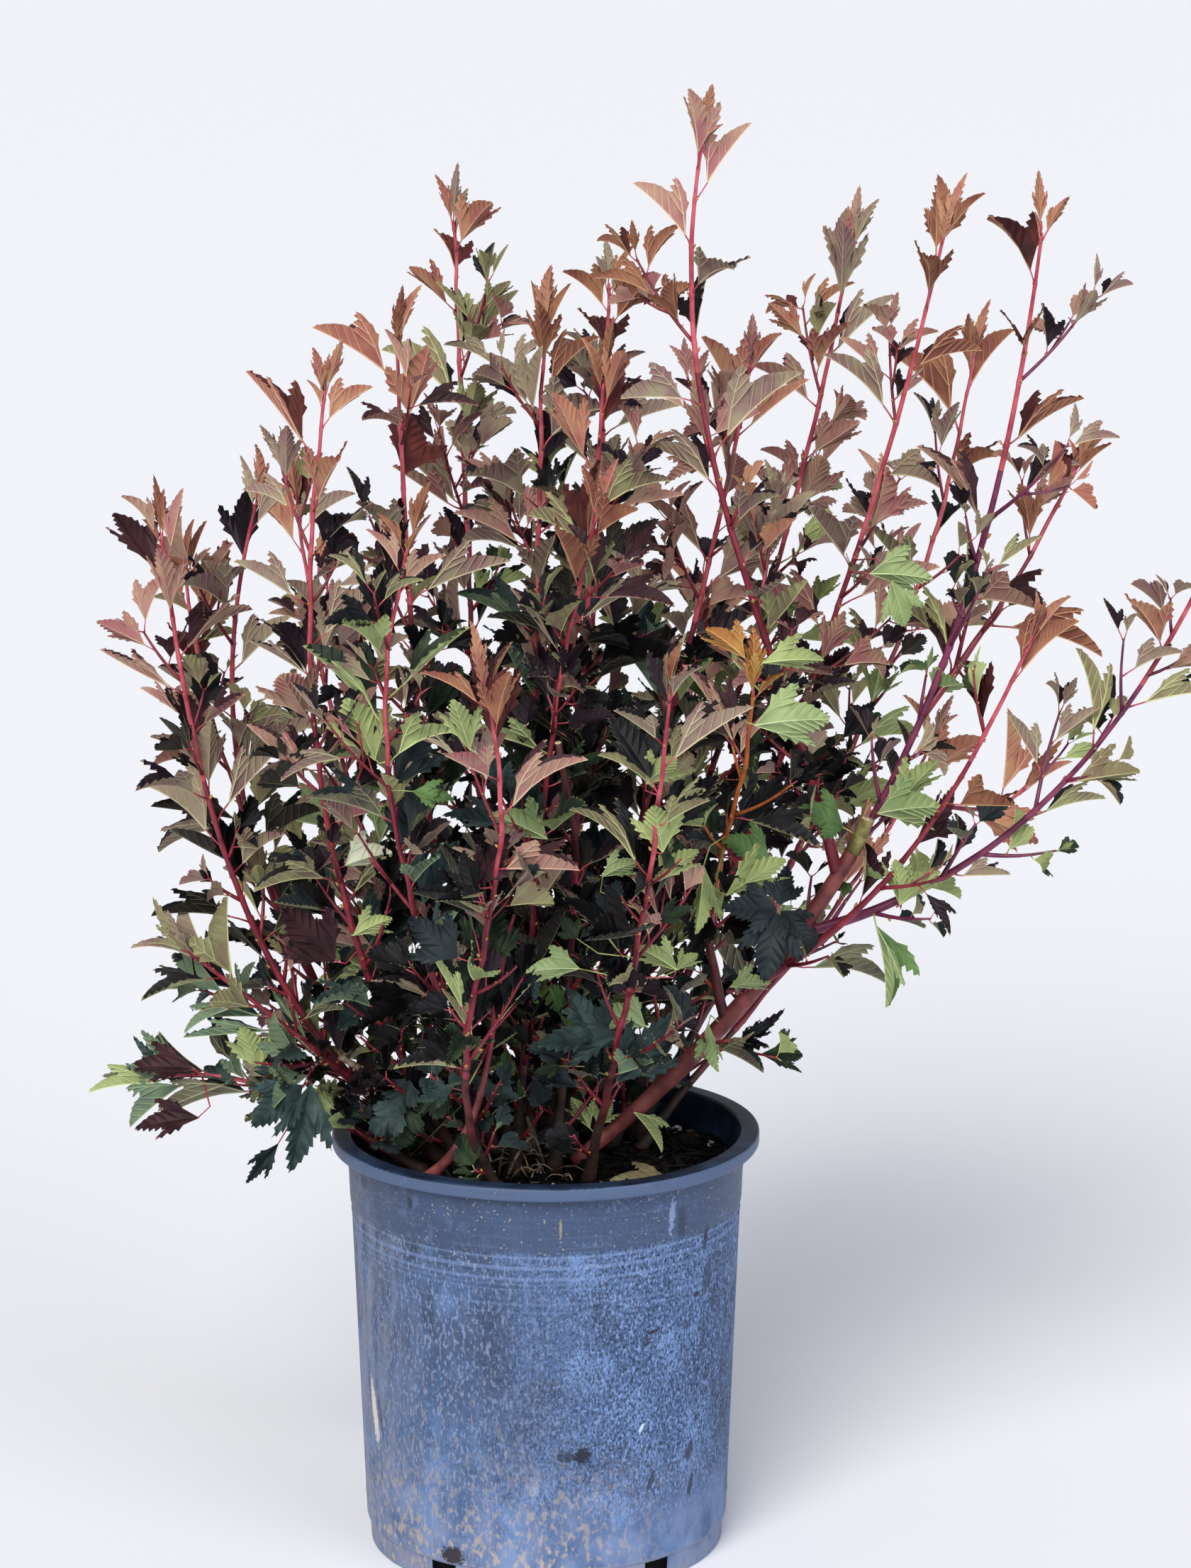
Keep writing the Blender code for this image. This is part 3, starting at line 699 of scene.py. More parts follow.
CANES = [
    Cane("right_main", (0.020, 0.000), (0.339, -0.020, 0.971), 40, 84, 0.0080, 0.58, spread=0.080,
         wood=Wood.PURPLE, leafy=0.54),
    Cane("tall_centre", ("right_main", 0.37), (0.114, -0.030, 1.035), 74, 80, 0.0046, 0.30, 20, 180, 0.080),
    Cane("right_second", (0.045, 0.035), (0.285, 0.060, 0.968), 66, 78, 0.0046, 0.34, leafy=0.9),
    Cane("right_third", (0.030, 0.062), (0.222, 0.120, 0.953), 72, 80, 0.0044, 0.34),
    Cane("right_outer", ("right_main", 0.55), (0.385, 0.030, 0.802), 50, 62, 0.0032, 0.0,
         limb=False, leafy=0.5),
    Cane("right_long", ("right_main", 0.30), (0.482, -0.060, 0.790), 16, 68, 0.0042, 0.36,
         wood=Wood.PURPLE, leafy=0.6),
    Cane("right_low", ("right_main", 0.24), (0.343, -0.090, 0.702), 34, 66, 0.0038, 0.24,
         spread=0.065, leafy=0.4),
    Cane("right_side", ("right_main", 0.44), (0.366, 0.070, 0.560), 24, 40, 0.0030, 0.0,
         limb=False, leafy=0.35),
    Cane("right_back", (0.062, 0.058), (0.319, 0.260, 0.857), 52, 80, 0.0044, 0.30, spread=0.080, leafy=0.7),
    Cane("centre_high", (0.010, 0.045), (0.150, 0.060, 0.874), 78, 80, 0.0044, 0.32, leafy=1.3),
    Cane("back_centre", (0.000, 0.072), (0.046, 0.220, 0.915), 70, 84, 0.0046, 0.30, spread=0.080, leafy=1.3),
    Cane("back_left_tall", (-0.030, 0.060), (-0.069, 0.200, 0.961), 70, 80, 0.0046, 0.32,
         spread=0.080, leafy=1.2),
    Cane("centre_left", (-0.012, 0.020), (0.002, 0.050, 0.902), 84, 84, 0.0044, 0.34, leafy=1.5),
    Cane("centre_front", (0.006, -0.022), (0.045, -0.040, 0.872), 84, 84, 0.0044, 0.24, leafy=1.2),
    Cane("centre_low", (-0.022, -0.034), (0.047, -0.130, 0.794), 84, 66, 0.0042, 0.20, 30, 0, 0.065),
    Cane("front_amber", ("right_main", 0.19), (0.140, -0.150, 0.680), 70, 74, 0.0040, 0.20, -60, 0, 0.065,
         wood=Wood.AMBER, leafy=0.5),
    Cane("front_centre", (0.030, -0.048), (0.084, -0.240, 0.696), 60, 78, 0.0040, 0.18),
    Cane("left_high", (-0.036, 0.012), (-0.101, -0.010, 0.899), 76, 88, 0.0044, 0.32, leafy=0.8),
    Cane("left_tall", (-0.058, -0.012), (-0.138, -0.080, 0.872), 56, 80, 0.0044, 0.24, 0, 180, leafy=0.9),
    Cane("left_mid", (-0.044, -0.046), (-0.075, -0.150, 0.778), 70, 74, 0.0040, 0.18, 0, 120, 0.065),
    Cane("left_out", (-0.064, 0.020), (-0.185, 0.010, 0.785), 44, 74, 0.0044, 0.36, 0, 180, 0.065,
         leafy=0.75),
    Cane("left_far", (-0.072, 0.000), (-0.262, -0.050, 0.772), 40, 84, 0.0046, 0.36,
         spread=0.045, leafy=0.95),
    Cane("left_behind", ("left_out", 0.30), (-0.258, 0.085, 0.726), 60, 84, 0.0032, 0.0, 0, 0, 0.050, False,
         leafy=0.6),
    Cane("front_left", (-0.030, -0.080), (-0.045, -0.280, 0.705), 52, 70, 0.0040, 0.22, -35, -40),
    Cane("left_low", ("left_far", 0.16), (-0.274, -0.090, 0.475), 36, 40, 0.0030, 0.0, 30, 0, 0.060, False,
         leafy=1.4),
    Cane("left_foot", (-0.084, -0.024), (-0.308, -0.030, 0.340), 30, -6, 0.0036, 0.16,
         spread=0.055, leafy=1.3),
    Cane("back_right_low", (0.066, 0.028), (0.300, 0.210, 0.575), 44, 60, 0.0038, 0.20,
         spread=0.075, leafy=0.3),
    Cane("back_low", (0.028, 0.086), (0.120, 0.315, 0.680), 52, 78, 0.0040, 0.20, spread=0.065),
    Cane("back_left", (-0.058, 0.052), (-0.190, 0.250, 0.755), 54, 80, 0.0042, 0.24, spread=0.080, leafy=0.8),
    Cane("back_left_low", ("back_left", 0.16), (-0.170, 0.310, 0.510), 44, 60, 0.0034, 0.0, limb=False),
    Cane("front_right_low", ("right_main", 0.15), (0.158, -0.080, 0.386), 30, 14, 0.0024, 0.0, -20, 0, 0.055,
         limb=False, leafy=0.3),
]
PRUNED = Cane("pruned", (-0.096, -0.066), (-0.020, -0.095, 0.476), 28, 74, 0.0046, 1.0, 0, 30)

# The thick bough was cut back to a stub at this share of its length, and a slimmer shoot carries it on
PRUNED_AT = 0.395
BOUGH_RADIUS = 0.0063

# Stems that the photograph shows clear of leaves, with the shares of their length between which they show
CLEAR = {
    "right_main": (0.02, 0.62), "right_long": (0.0, 0.70), "right_low": (0.0, 0.50),
    "front_amber": (0.05, 0.90), "pruned": (0.35, 1.0), "tall_centre": (0.50, 0.88),
    "left_far": (0.30, 0.70),
}


@dataclass(frozen=True)
class Specimen:
    """A leaf that the photograph shows plainly: its base, its tip and its upper side.

    Base and tip are where the photograph shows them, as pixels across and down, each with the
    depth along Y in metres that is taken for it.
    """

    base: tuple[float, float, float]
    tip: tuple[float, float, float]
    upper: tuple[float, float, float]
    tint: Tint
    form: Form = Form.LONG
    fold: float = 35.0
    curl: float = 0.4


# Single leaves by the cane that bears them, from the right to the left
SPECIMENS = {
    "right_long": [
        Specimen((1236, 1305, -0.030), (1270, 1421, -0.036), (0.9, -0.6, 0.1), Tint.BRIGHT, fold=58.0),
        Specimen((1269, 1276, -0.040), (1325, 1217, -0.052), (-0.4, 1.0, 0.1), Tint.PALE, fold=30.0),
        Specimen((1269, 1276, -0.040), (1266, 1202, -0.054), (0.3, 1.0, 0.0), Tint.PALE, fold=34.0),
        # Guessed, past the photograph's edge
        Specimen((1765, 709, -0.062), (1859, 671, -0.076), (0.0, 0.5, 1.0), Tint.ROSE),
    ],
    "right_main": [
        Specimen((1190, 1167, -0.020), (1131, 1136, -0.045), (0.0, -1.0, 0.8), Tint.BRIGHT, Form.BROAD, 20.0),
        Specimen((1238, 1147, -0.030), (1334, 1126, -0.050), (0.0, 1.0, 0.3), Tint.BRIGHT, Form.BROAD, 16.0),
        Specimen((1268, 1133, -0.020), (1322, 1061, -0.030), (-0.3, 1.0, 0.1), Tint.PALE, fold=30.0),
        Specimen((1029, 1392, -0.030), (1092, 1377, -0.044), (0.0, 1.0, 0.4), Tint.BRIGHT, fold=30.0),
        Specimen((999, 1443, -0.030), (1009, 1516, -0.044), (-0.4, 1.0, 0.2), Tint.BRIGHT, fold=40.0),
        Specimen((911, 1448, -0.040), (838, 1413, -0.052), (0.1, 1.0, 0.3), Tint.BRIGHT, Form.BROAD, 16.0),
        # Small ones low on the bough, at the pot
        Specimen((832, 1591, -0.012), (806, 1540, -0.018), (0.1, 1.0, 0.3), Tint.PALE, fold=16.0),
        Specimen((842, 1591, -0.012), (864, 1549, -0.016), (0.0, 1.0, 0.3), Tint.PALE, fold=16.0),
        Specimen((894, 1568, -0.012), (943, 1618, -0.018), (-0.2, 0.7, 1.0), Tint.PALE, fold=46.0),
    ],
    "right_second": [
        Specimen((1227, 809, 0.000), (1321, 806, -0.012), (0.0, 1.0, 0.5), Tint.BRIGHT, Form.BROAD, 20.0),
        Specimen((1257, 819, 0.000), (1280, 889, -0.020), (0.2, 1.0, 0.0), Tint.BRIGHT, Form.BROAD, 24.0),
    ],
    # The amber shoot has a dark cluster
    "front_amber": [
        Specimen((1097, 1282, -0.120), (1025, 1277, -0.142), (0.0, -1.0, 0.5), Tint.SLATE, Form.BROAD, 12.0),
        Specimen((1097, 1286, -0.120), (1078, 1382, -0.150), (0.0, -1.0, 0.4), Tint.SLATE, Form.BROAD, 10.0),
        Specimen((1101, 1284, -0.119), (1143, 1325, -0.140), (0.0, -1.0, 0.6), Tint.SLATE, Form.BROAD, 14.0),
        Specimen((1099, 1276, -0.116), (1111, 1225, -0.130), (0.0, -1.0, 0.0), Tint.SLATE, Form.BROAD, 16.0),
        Specimen((1087, 1216, -0.070), (1026, 1178, -0.090), (0.0, -1.0, 0.8), Tint.BRIGHT, Form.BROAD, 16.0),
        Specimen((1024, 1263, -0.122), (1115, 1201, -0.140), (0.3, 0.9, 0.3), Tint.PALE, fold=44.0),
        Specimen((1064, 1023, -0.160), (1176, 1003, -0.172), (0.0, 1.0, 0.3), Tint.BRIGHT, Form.BROAD, 18.0),
        Specimen((992, 1220, -0.110), (988, 1324, -0.130), (0.4, 1.0, 0.0), Tint.PALE, fold=54.0),
        Specimen((1051, 928, -0.150), (994, 874, -0.165), (0.3, 1.0, 0.2), Tint.AMBER, fold=26.0),
        Specimen((1075, 935, -0.150), (1167, 920, -0.162), (0.0, 1.0, 0.4), Tint.PALE, fold=34.0),
    ],
    # In the middle a few stand out from the dark ones
    "front_centre": [
        Specimen((818, 1366, -0.140), (737, 1360, -0.150), (0.0, 1.0, 0.5), Tint.BRIGHT, Form.BROAD, 16.0),
        Specimen((935, 1202, -0.200), (921, 1126, -0.212), (0.0, 1.0, 0.2), Tint.PALE, Form.BROAD, 18.0),
        Specimen((911, 1106, -0.200), (956, 1060, -0.210), (0.0, 1.0, 0.3), Tint.PALE, Form.BROAD, 18.0),
        Specimen((921, 1246, -0.180), (988, 1189, -0.190), (0.0, 1.0, 0.3), Tint.PALE, fold=40.0),
        Specimen((849, 1236, -0.150), (905, 1206, -0.160), (0.0, 1.0, 0.4), Tint.BRIGHT, fold=20.0),
        Specimen((928, 1299, -0.170), (978, 1277, -0.180), (0.0, -1.0, 0.6), Tint.PALE, fold=34.0),
        Specimen((860, 1295, -0.160), (872, 1243, -0.170), (0.0, -1.0, 0.2), Tint.SLATE, Form.BROAD, 14.0),
        Specimen((955, 1368, -0.140), (895, 1325, -0.152), (0.0, 1.0, 0.3), Tint.PALE, fold=26.0),
        Specimen((955, 1368, -0.140), (986, 1338, -0.150), (0.0, 1.0, 0.3), Tint.PALE, fold=26.0),
        Specimen((814, 1324, -0.150), (792, 1292, -0.158), (0.0, -1.0, 0.4), Tint.PALE, Form.BROAD, 16.0),
        Specimen((759, 1360, -0.130), (718, 1418, -0.142), (0.2, -1.0, 0.4), Tint.TEAL, fold=22.0),
        Specimen((873, 1459, -0.120), (754, 1468, -0.132), (0.0, -1.0, 0.6), Tint.TEAL, fold=24.0),
        Specimen((790, 1503, -0.100), (754, 1511, -0.110), (0.0, -1.0, 0.6), Tint.PALE, fold=22.0),
    ],
    "centre_low": [
        Specimen((772, 1183, -0.060), (689, 1135, -0.072), (0.0, 1.0, 0.5), Tint.BRIGHT, Form.BROAD, 16.0),
    ],
    "front_left": [
        Specimen((674, 1248, -0.220), (719, 1178, -0.230), (0.2, -1.0, 0.3), Tint.ROSE, fold=24.0),
        Specimen((663, 1058, -0.260), (638, 976, -0.270), (0.1, 1.0, 0.1), Tint.PALE, fold=28.0),
        Specimen((646, 1351, -0.200), (578, 1295, -0.212), (-0.2, -1.0, 0.4), Tint.SLATE, Form.BROAD, 14.0),
        Specimen((689, 1418, -0.140), (641, 1435, -0.150), (0.0, -1.0, 0.5), Tint.TEAL, fold=20.0),
        Specimen((674, 1494, -0.110), (651, 1514, -0.118), (0.0, -1.0, 0.5), Tint.PALE, fold=20.0),
        Specimen((640, 1534, -0.110), (588, 1551, -0.122), (0.0, -1.0, 0.5), Tint.TEAL, fold=20.0),
    ],
    "left_mid": [
        Specimen((582, 1116, -0.150), (641, 1125, -0.160), (0.0, -1.0, 0.6), Tint.BRIGHT, fold=20.0),
        Specimen((529, 1072, -0.140), (487, 973, -0.152), (0.0, 1.0, 0.3), Tint.PALE, Form.BROAD, 18.0),
    ],
    "left_tall": [
        Specimen((486, 1221, -0.078), (557, 1191, -0.092), (0.1, 0.9, 0.5), Tint.CREAM, Form.BROAD, 24.0),
        Specimen((498, 1319, -0.080), (557, 1286, -0.090), (0.1, 1.0, 0.4), Tint.PALE, fold=22.0),
        Specimen((473, 1357, -0.080), (402, 1281, -0.092), (0.0, -1.0, 0.5), Tint.ROSE, Form.BROAD, 14.0),
    ],
    "left_foot": [
        Specimen((218, 1527, -0.030), (124, 1522, -0.030), (0.0, 0.4, 1.0), Tint.PALE, fold=50.0),
        Specimen((365, 1510, -0.048), (342, 1439, -0.055), (0.1, 1.0, 0.2), Tint.PALE, Form.BROAD, 14.0),
        Specimen((274, 1507, -0.040), (177, 1495, -0.046), (0.0, -0.7, 1.0), Tint.ROSE, fold=18.0),
        Specimen((281, 1576, -0.046), (186, 1582, -0.050), (0.0, -0.7, 1.0), Tint.ROSE, fold=18.0),
        Specimen((427, 1530, -0.070), (354, 1584, -0.095), (-0.2, -1.0, 0.4), Tint.TEAL, Form.BROAD, 14.0),
        Specimen((439, 1527, -0.072), (412, 1655, -0.100), (0.3, -1.0, 0.3), Tint.TEAL, fold=30.0),
        Specimen((393, 1612, -0.062), (345, 1670, -0.074), (0.2, -1.0, 0.5), Tint.TEAL, fold=54.0),
        # Small ones at the pot's left
        Specimen((577, 1520, -0.052), (552, 1573, -0.062), (-0.2, -1.0, 0.5), Tint.TEAL, Form.SMALL, 14.0),
        Specimen((638, 1543, -0.050), (580, 1557, -0.062), (0.0, -1.0, 0.5), Tint.PALE, Form.SMALL, 12.0),
        Specimen((568, 1562, -0.056), (523, 1596, -0.068), (0.0, -1.0, 0.4), Tint.TEAL, Form.SMALL, 16.0),
        Specimen((569, 1559, -0.052), (568, 1620, -0.062), (0.1, -1.0, 0.4), Tint.PALE, Form.SMALL, 14.0),
    ],
    # Guessed, at the end of a cane behind
    "back_low": [
        Specimen((994, 789, 0.326), (1007, 747, 0.372), (0.2, 0.3, 1.0), Tint.MAUVE),
    ],
}


@dataclass(frozen=True)
class Stub:
    """Short stub left by pruning, cut straight: the cane that bears it, its foot and its cut end.

    Foot and end are pixels of the photograph, across and down, each with a depth along Y in metres.
    """

    cane: str
    foot: tuple[float, float, float]
    end: tuple[float, float, float]
    radius: float
    wood: Wood


STUBS = [
    Stub("centre_front", (821, 1226, -0.062), (787, 1047, -0.100), 0.0024, Wood.WINE),
    Stub("right_main", (1205, 1204, -0.013), (1224, 1154, -0.018), 0.0048, Wood.STUB),
]


def heading(rise: float, azimuth: float) -> Vector:
    """Unit vector that rises by an angle above level towards an azimuth, both in radians."""
    return Vector((math.cos(rise) * math.cos(azimuth), math.cos(rise) * math.sin(azimuth), math.sin(rise)))


class Route:
    """Centreline of one cane, a cubic curve from foot to tip, with its taper."""

    # Canes are drawn slimmer than their solids by a share, which is reached at a length above the foot
    slimmer = 0.27
    slim_above = 0.10

    # The bough is slimmer still beyond its pruned stub, which it reaches within a share of its length
    bough_slimmer = 0.47
    stub_fade = 0.012

    def __init__(self, cane: Cane, foot: Vector) -> None:
        """Lay the curve.

        Args:
            cane: The shoot.
            foot: Where it starts.
        """
        self.cane = cane
        azimuth = math.atan2(cane.tip[1] - foot.y, cane.tip[0] - foot.x)
        growth = heading(math.radians(cane.end_rise), azimuth + math.radians(cane.end_turn))
        tip = Vector(cane.tip)
        if cane.bare < 1.0:
            tip -= growth * LAST_LEAF_REACH
        reach = CANE_PULL * (tip - foot).length
        first = foot + heading(math.radians(cane.rise), azimuth + math.radians(cane.turn)) * reach
        self.controls = (foot, first, tip - growth * reach, tip)
        self.across = Vector((-math.sin(azimuth), math.cos(azimuth), 0.0))
        steps = [self.point(step / LENGTH_STEPS) for step in range(LENGTH_STEPS + 1)]
        self.length = sum((b - a).length for a, b in zip(steps, steps[1:]))

    def point(self, share: float) -> Vector:
        """Place on the centreline at a share of the way up."""
        rest = 1.0 - share
        weights = (rest ** 3, 3 * rest * rest * share, 3 * rest * share * share, share ** 3)
        return sum((control * weight for control, weight in zip(self.controls, weights)), Vector())

    def radius(self, share: float) -> float:
        """Radius of the wood, with a flare where it leaves the soil."""
        flare = 0.0 if self.cane.branches() else FLARE * math.exp(-share * self.length / FLARE_REACH)
        return (self.cane.radius * (1.0 - share) + CANE_TIP_RADIUS * share) * (1.0 + flare)

    def shown(self, share: float) -> float:
        """Radius as drawn: slimmer within the foliage, and on the thick bough above its pruned stub."""
        if self.cane.name == "right_main":
            past = min(1.0, max(0.0, share - PRUNED_AT) / self.stub_fade)
            thick = min(self.radius(share), BOUGH_RADIUS * min(1.0, 0.78 + 1.8 * share))
            return thick * (1.0 - self.bough_slimmer * past * min(1.0, (1.0 - share) / 0.5))
        above = min(1.0, share * self.length / self.slim_above)
        return self.radius(share) * (1.0 - self.slimmer * above * min(1.0, max(0.0, 0.85 - share) / 0.25))

    def nearest(self, place: Vector) -> Vector:
        """Place on the centreline nearest to a point."""
        steps = (self.point(step / 200) for step in range(201))
        return min(steps, key=lambda point: (point - place).length)

    def axis(self, start: float, end: float) -> Axis:
        """Centre points with their radii between two shares, as far apart as the solid's."""
        count = max(3, round((end - start) * self.length / CANE_STEP))
        shares = [start + (end - start) * step / count for step in range(count + 1)]
        return [(self.point(share), self.radius(share)) for share in shares]


class Spaces:
    """The room that each mass of foliage keeps to, measured from the stems."""

    def __init__(self, axes: Sequence[Axis]) -> None:
        """Gather the stems' stretches.

        Args:
            axes: One axis for each mass or limb.
        """
        stretches = [(n, *a, *b) for n, axis in enumerate(axes) for a, b in zip(axis, axis[1:])]
        self.owners = np.array([stretch[0] for stretch in stretches])
        self.starts = np.array([tuple(stretch[1]) for stretch in stretches])
        self.runs = np.array([tuple(stretch[3]) for stretch in stretches]) - self.starts
        self.radii = np.array([(stretch[2], stretch[4]) for stretch in stretches])
        self.count = len(axes)

    def clearances(self, point: Vector) -> np.ndarray:
        """Distance from a point to the surface of each axis.

        Args:
            point: The point.

        Returns:
            One distance for each axis.
        """
        away = np.asarray(point) - self.starts
        share = np.clip((away * self.runs).sum(1) / (self.runs ** 2).sum(1), 0.0, 1.0)
        gaps = np.linalg.norm(away - self.runs * share[:, None], axis=1)
        gaps -= self.radii[:, 0] + (self.radii[:, 1] - self.radii[:, 0]) * share
        nearest = np.full(self.count, np.inf)
        np.minimum.at(nearest, self.owners, gaps)
        return nearest


class ClearView:
    """Stems and leaves that show plainly from where the photograph was taken."""

    # Distance between the spots on a stem, and how far behind a single leaf another may start
    spot_step = 0.004
    leaf_depth = 0.004

    # Shares of a single leaf's length at which its spots lie, and their radius as a share of it
    leaf_parts = (0.25, 0.55, 0.85)
    leaf_reach = 0.22

    def __init__(self, routes: dict[str, Route]) -> None:
        """Gather the places where the stems and the single leaves show.

        Args:
            routes: Route of every cane by name.
        """
        spots = []
        for name, (start, end) in CLEAR.items():
            route = routes[name]
            steps = round((end - start) * route.length / self.spot_step)
            for share in (start + (end - start) * step / steps for step in range(steps + 1)):
                place = route.point(share)
                spots.append((*self.sighted(place), place.y, route.shown(share)))
        for specimen in (specimen for group in SPECIMENS.values() for specimen in group):
            base, tip = seen_at(*specimen.base), seen_at(*specimen.tip)
            for part in self.leaf_parts:
                place = base.lerp(tip, part)
                room = (tip - base).length * self.leaf_reach
                spots.append((*self.sighted(place), place.y - self.leaf_depth, room))
        self.spots = np.array(spots)

    def sighted(self, point: Vector) -> tuple[float, float]:
        """Where the line of sight to a point crosses the upright plane through the pot's centre."""
        reach = -EYE.y / (point.y - EYE.y)
        return EYE.x + (point.x - EYE.x) * reach, EYE.z + (point.z - EYE.z) * reach

    def hides(self, point: Vector, room: float) -> bool:
        """Whether a leaf at a point would stand in front of one of the stems or single leaves.

        Args:
            point: The point.
            room: How far it must keep from their edges.

        Returns:
            Whether it would hide one.
        """
        x, z = self.sighted(point)
        gaps = np.hypot(self.spots[:, 0] - x, self.spots[:, 1] - z) - self.spots[:, 3]
        nearest = gaps.argmin()
        return bool(gaps[nearest] < room and point.y < self.spots[nearest, 2])


@dataclass(frozen=True)
class Rooms:
    """What a mass keeps clear of: the other masses, the limbs, and the stems that show."""

    masses: Spaces
    limbs: Spaces
    view: ClearView


class Stem:
    """Axis that bears leaves: points along it, their radii and a vector across it."""

    def __init__(self, points: Sequence[Vector], radii: Sequence[float], across: Vector) -> None:
        """Keep the axis.

        Args:
            points: Places along it.
            radii: Radius at each.
            across: Direction that turns round it are counted from.
        """
        self.points, self.radii, self.across = list(points), list(radii), across
        self.length = sum((b - a).length for a, b in zip(self.points, self.points[1:]))
        self.nodes: list[float] = []

    def at(self, share: float) -> tuple[Vector, Vector, float]:
        """Place, direction and radius at a share of the way along."""
        place = share * (len(self.points) - 1)
        index = min(int(place), len(self.points) - 2)
        part = place - index
        a, b = self.points[index], self.points[index + 1]
        radius = self.radii[index] * (1 - part) + self.radii[index + 1] * part
        return a.lerp(b, part), (b - a).normalized(), radius

    def out(self, direction: Vector, turn: float) -> Vector:
        """Unit vector out of the stem at a turn round its direction."""
        side = (self.across - direction * self.across.dot(direction)).normalized()
        return side * math.cos(turn) + direction.cross(side) * math.sin(turn)


class Mass:
    """Twigs and leaves of one shoot, by the solids' rule and on to finer twigs."""

    # Leaves turn their upper faces to the side that the light comes from where it grew
    sunny_side = Vector((0.0, 0.55, 0.0))

    # Heights between which the crown opens, and distances between leaves: on a leader in the dense
    # and in the open crown, on side twigs, on finer ones, and on the spurs low down
    crown_heights = (0.50, 0.86)
    leaf_step = (0.0178, 0.0355)
    twig_leaf_step = 0.0145
    fine_leaf_step = 0.012
    low_leaf_step = 0.0115

    # Lengths of blades and stalks, and the sizes of the last leaves of a leader
    blade = (0.050, 0.068)
    stalk = (0.008, 0.018)
    tip_leaves = (0.60, 0.46, 0.38)

    # Share of full size under which a leaf takes a simpler form
    small = 0.52

    # Angle in degrees between an old leaf's stalk and its stem, and how much less it is on young growth
    lean = (50.0, 28.0)

    # How leaves vary, in radians: lean of the stalk, blade's turn past the stalk, roll and twist
    lean_spread = 0.16
    flare = (-0.10, 0.42)
    roll_spread = 0.38
    twist_spread = 0.25

    # And the fold in degrees, the curl and the width
    folds = (26.0, 56.0)
    curls = (-0.15, 0.80)
    widths = (0.9, 1.12)

    # Youth from which a spray counts as a leader's tip, and the heights that part the zones
    young = 0.75
    tips_above = 0.50
    low_below = 0.42
    upper_above = 0.58
    top_above = 0.72

    # Points of a blade that may hide what shows: share of its length, and room that each keeps
    blade_spots = ((0.42, 0.011), (0.85, 0.006))

    # The shaded heart of the crown, where sprays mostly get the near-black tint of painted shade and leaves
    # turn their upper faces to the front: its middle, its half sizes and that turn
    heart = Vector((0.000, 0.020, 0.455))
    heart_size = Vector((0.185, 0.170, 0.250))
    heart_side = Vector((0.0, -0.40, 0.0))

    # Turns aside and sizes at which a leaf is tried until it is clear
    leaf_tries = ((0.0, 1.0), (0.8, 0.92), (-0.8, 0.92), (2.0, 0.8), (-2.0, 0.8))

    # How far a mass may reach past the middle between it and the next, and how far it keeps from limbs
    slack = 0.012
    limb_clear = 0.0025

    # Spurs on the bare wood below: start of the first, distance apart, length, and size of their leaves
    low_start = 0.022
    low_step = 0.0105
    low_length = (0.016, 0.058)
    low_leaves = (0.38, 0.64)

    # Twigs from this length on branch once, at a share of it, into one as long as another share of it
    branching = 0.058
    branch_at = 0.38
    branch_share = 0.42

    # Spurs inside the crown: height below which they grow, length, and size of their leaves
    spur_below = (0.66, 0.80)
    spur_length = (0.016, 0.050)
    spur_leaves = (0.46, 0.76)

    # Length at a leader's tip that counts as young
    tip_reach = 0.085

    # Up to this height growth keeps within this distance of the pot's axis, so that it clears the rim
    rim_clear = 0.312
    pot_room = 0.129

    def __init__(self, number: int, route: Route, start: float) -> None:
        """Start the mass.

        Args:
            number: Its number among the shoots, which seeds its draws.
            route: Centreline of its shoot.
            start: Share of the shoot at which foliage begins.
        """
        self.number, self.cane, self.route, self.start = number, route.cane, route, start
        self.axis = route.axis(start, 1.0)
        self.draw = random.Random(number + 1)
        self.fine = random.Random(1000 + number)
        steps = max(8, round(route.length * (1 - start) / 0.008))
        shares = [start + (1 - start) * step / steps for step in range(steps + 1)]
        radii = [route.shown(share) for share in shares]
        self.leader = Stem([route.point(share) for share in shares], radii, route.across)
        self.low = False
        self.twigs: list[Stem] = []
        self.leaves: list[Leaf] = []

    def free(self, point: Vector, rooms: Rooms) -> bool:
        """Whether a point lies in this mass's own room, clear of the limbs and the pot.

        Args:
            point: The point.
            rooms: What the mass keeps clear of.

        Returns:
            Whether something may grow there. Low growth only keeps clear of limbs and pot.
        """
        if point.z < SOIL_TOP + GROUND_CLEAR or rooms.limbs.clearances(point).min() < self.limb_clear:
            return False
        if point.z < self.rim_clear and math.hypot(point.x, point.y) > self.pot_room:
            return False
        if self.low:
            return True
        gaps = rooms.masses.clearances(point)
        own = gaps[self.number]
        gaps[self.number] = np.inf
        return own <= self.cane.spread and own <= gaps.min() + self.slack

    def rise(self, height: float) -> float:
        """Share of the way from the dense lower crown to the open upper one."""
        low, high = self.crown_heights
        return min(1.0, max(0.0, (height - low) / (high - low)))

    def sunward(self, place: Vector) -> Vector:
        """How strongly leaves turn to the light: more so high up and at the sides than in the shade."""
        side = min(0.8, max(0.0, (abs(place.x - 0.02) - 0.14) / 0.08))
        return self.sunny_side * max(0.12 + 0.88 * self.rise(place.z), side)

    def in_heart(self, place: Vector) -> bool:
        """Whether a place lies in the shaded heart of the crown."""
        away = place - self.heart
        return sum((part / size) ** 2 for part, size in zip(away, self.heart_size)) < 1.0

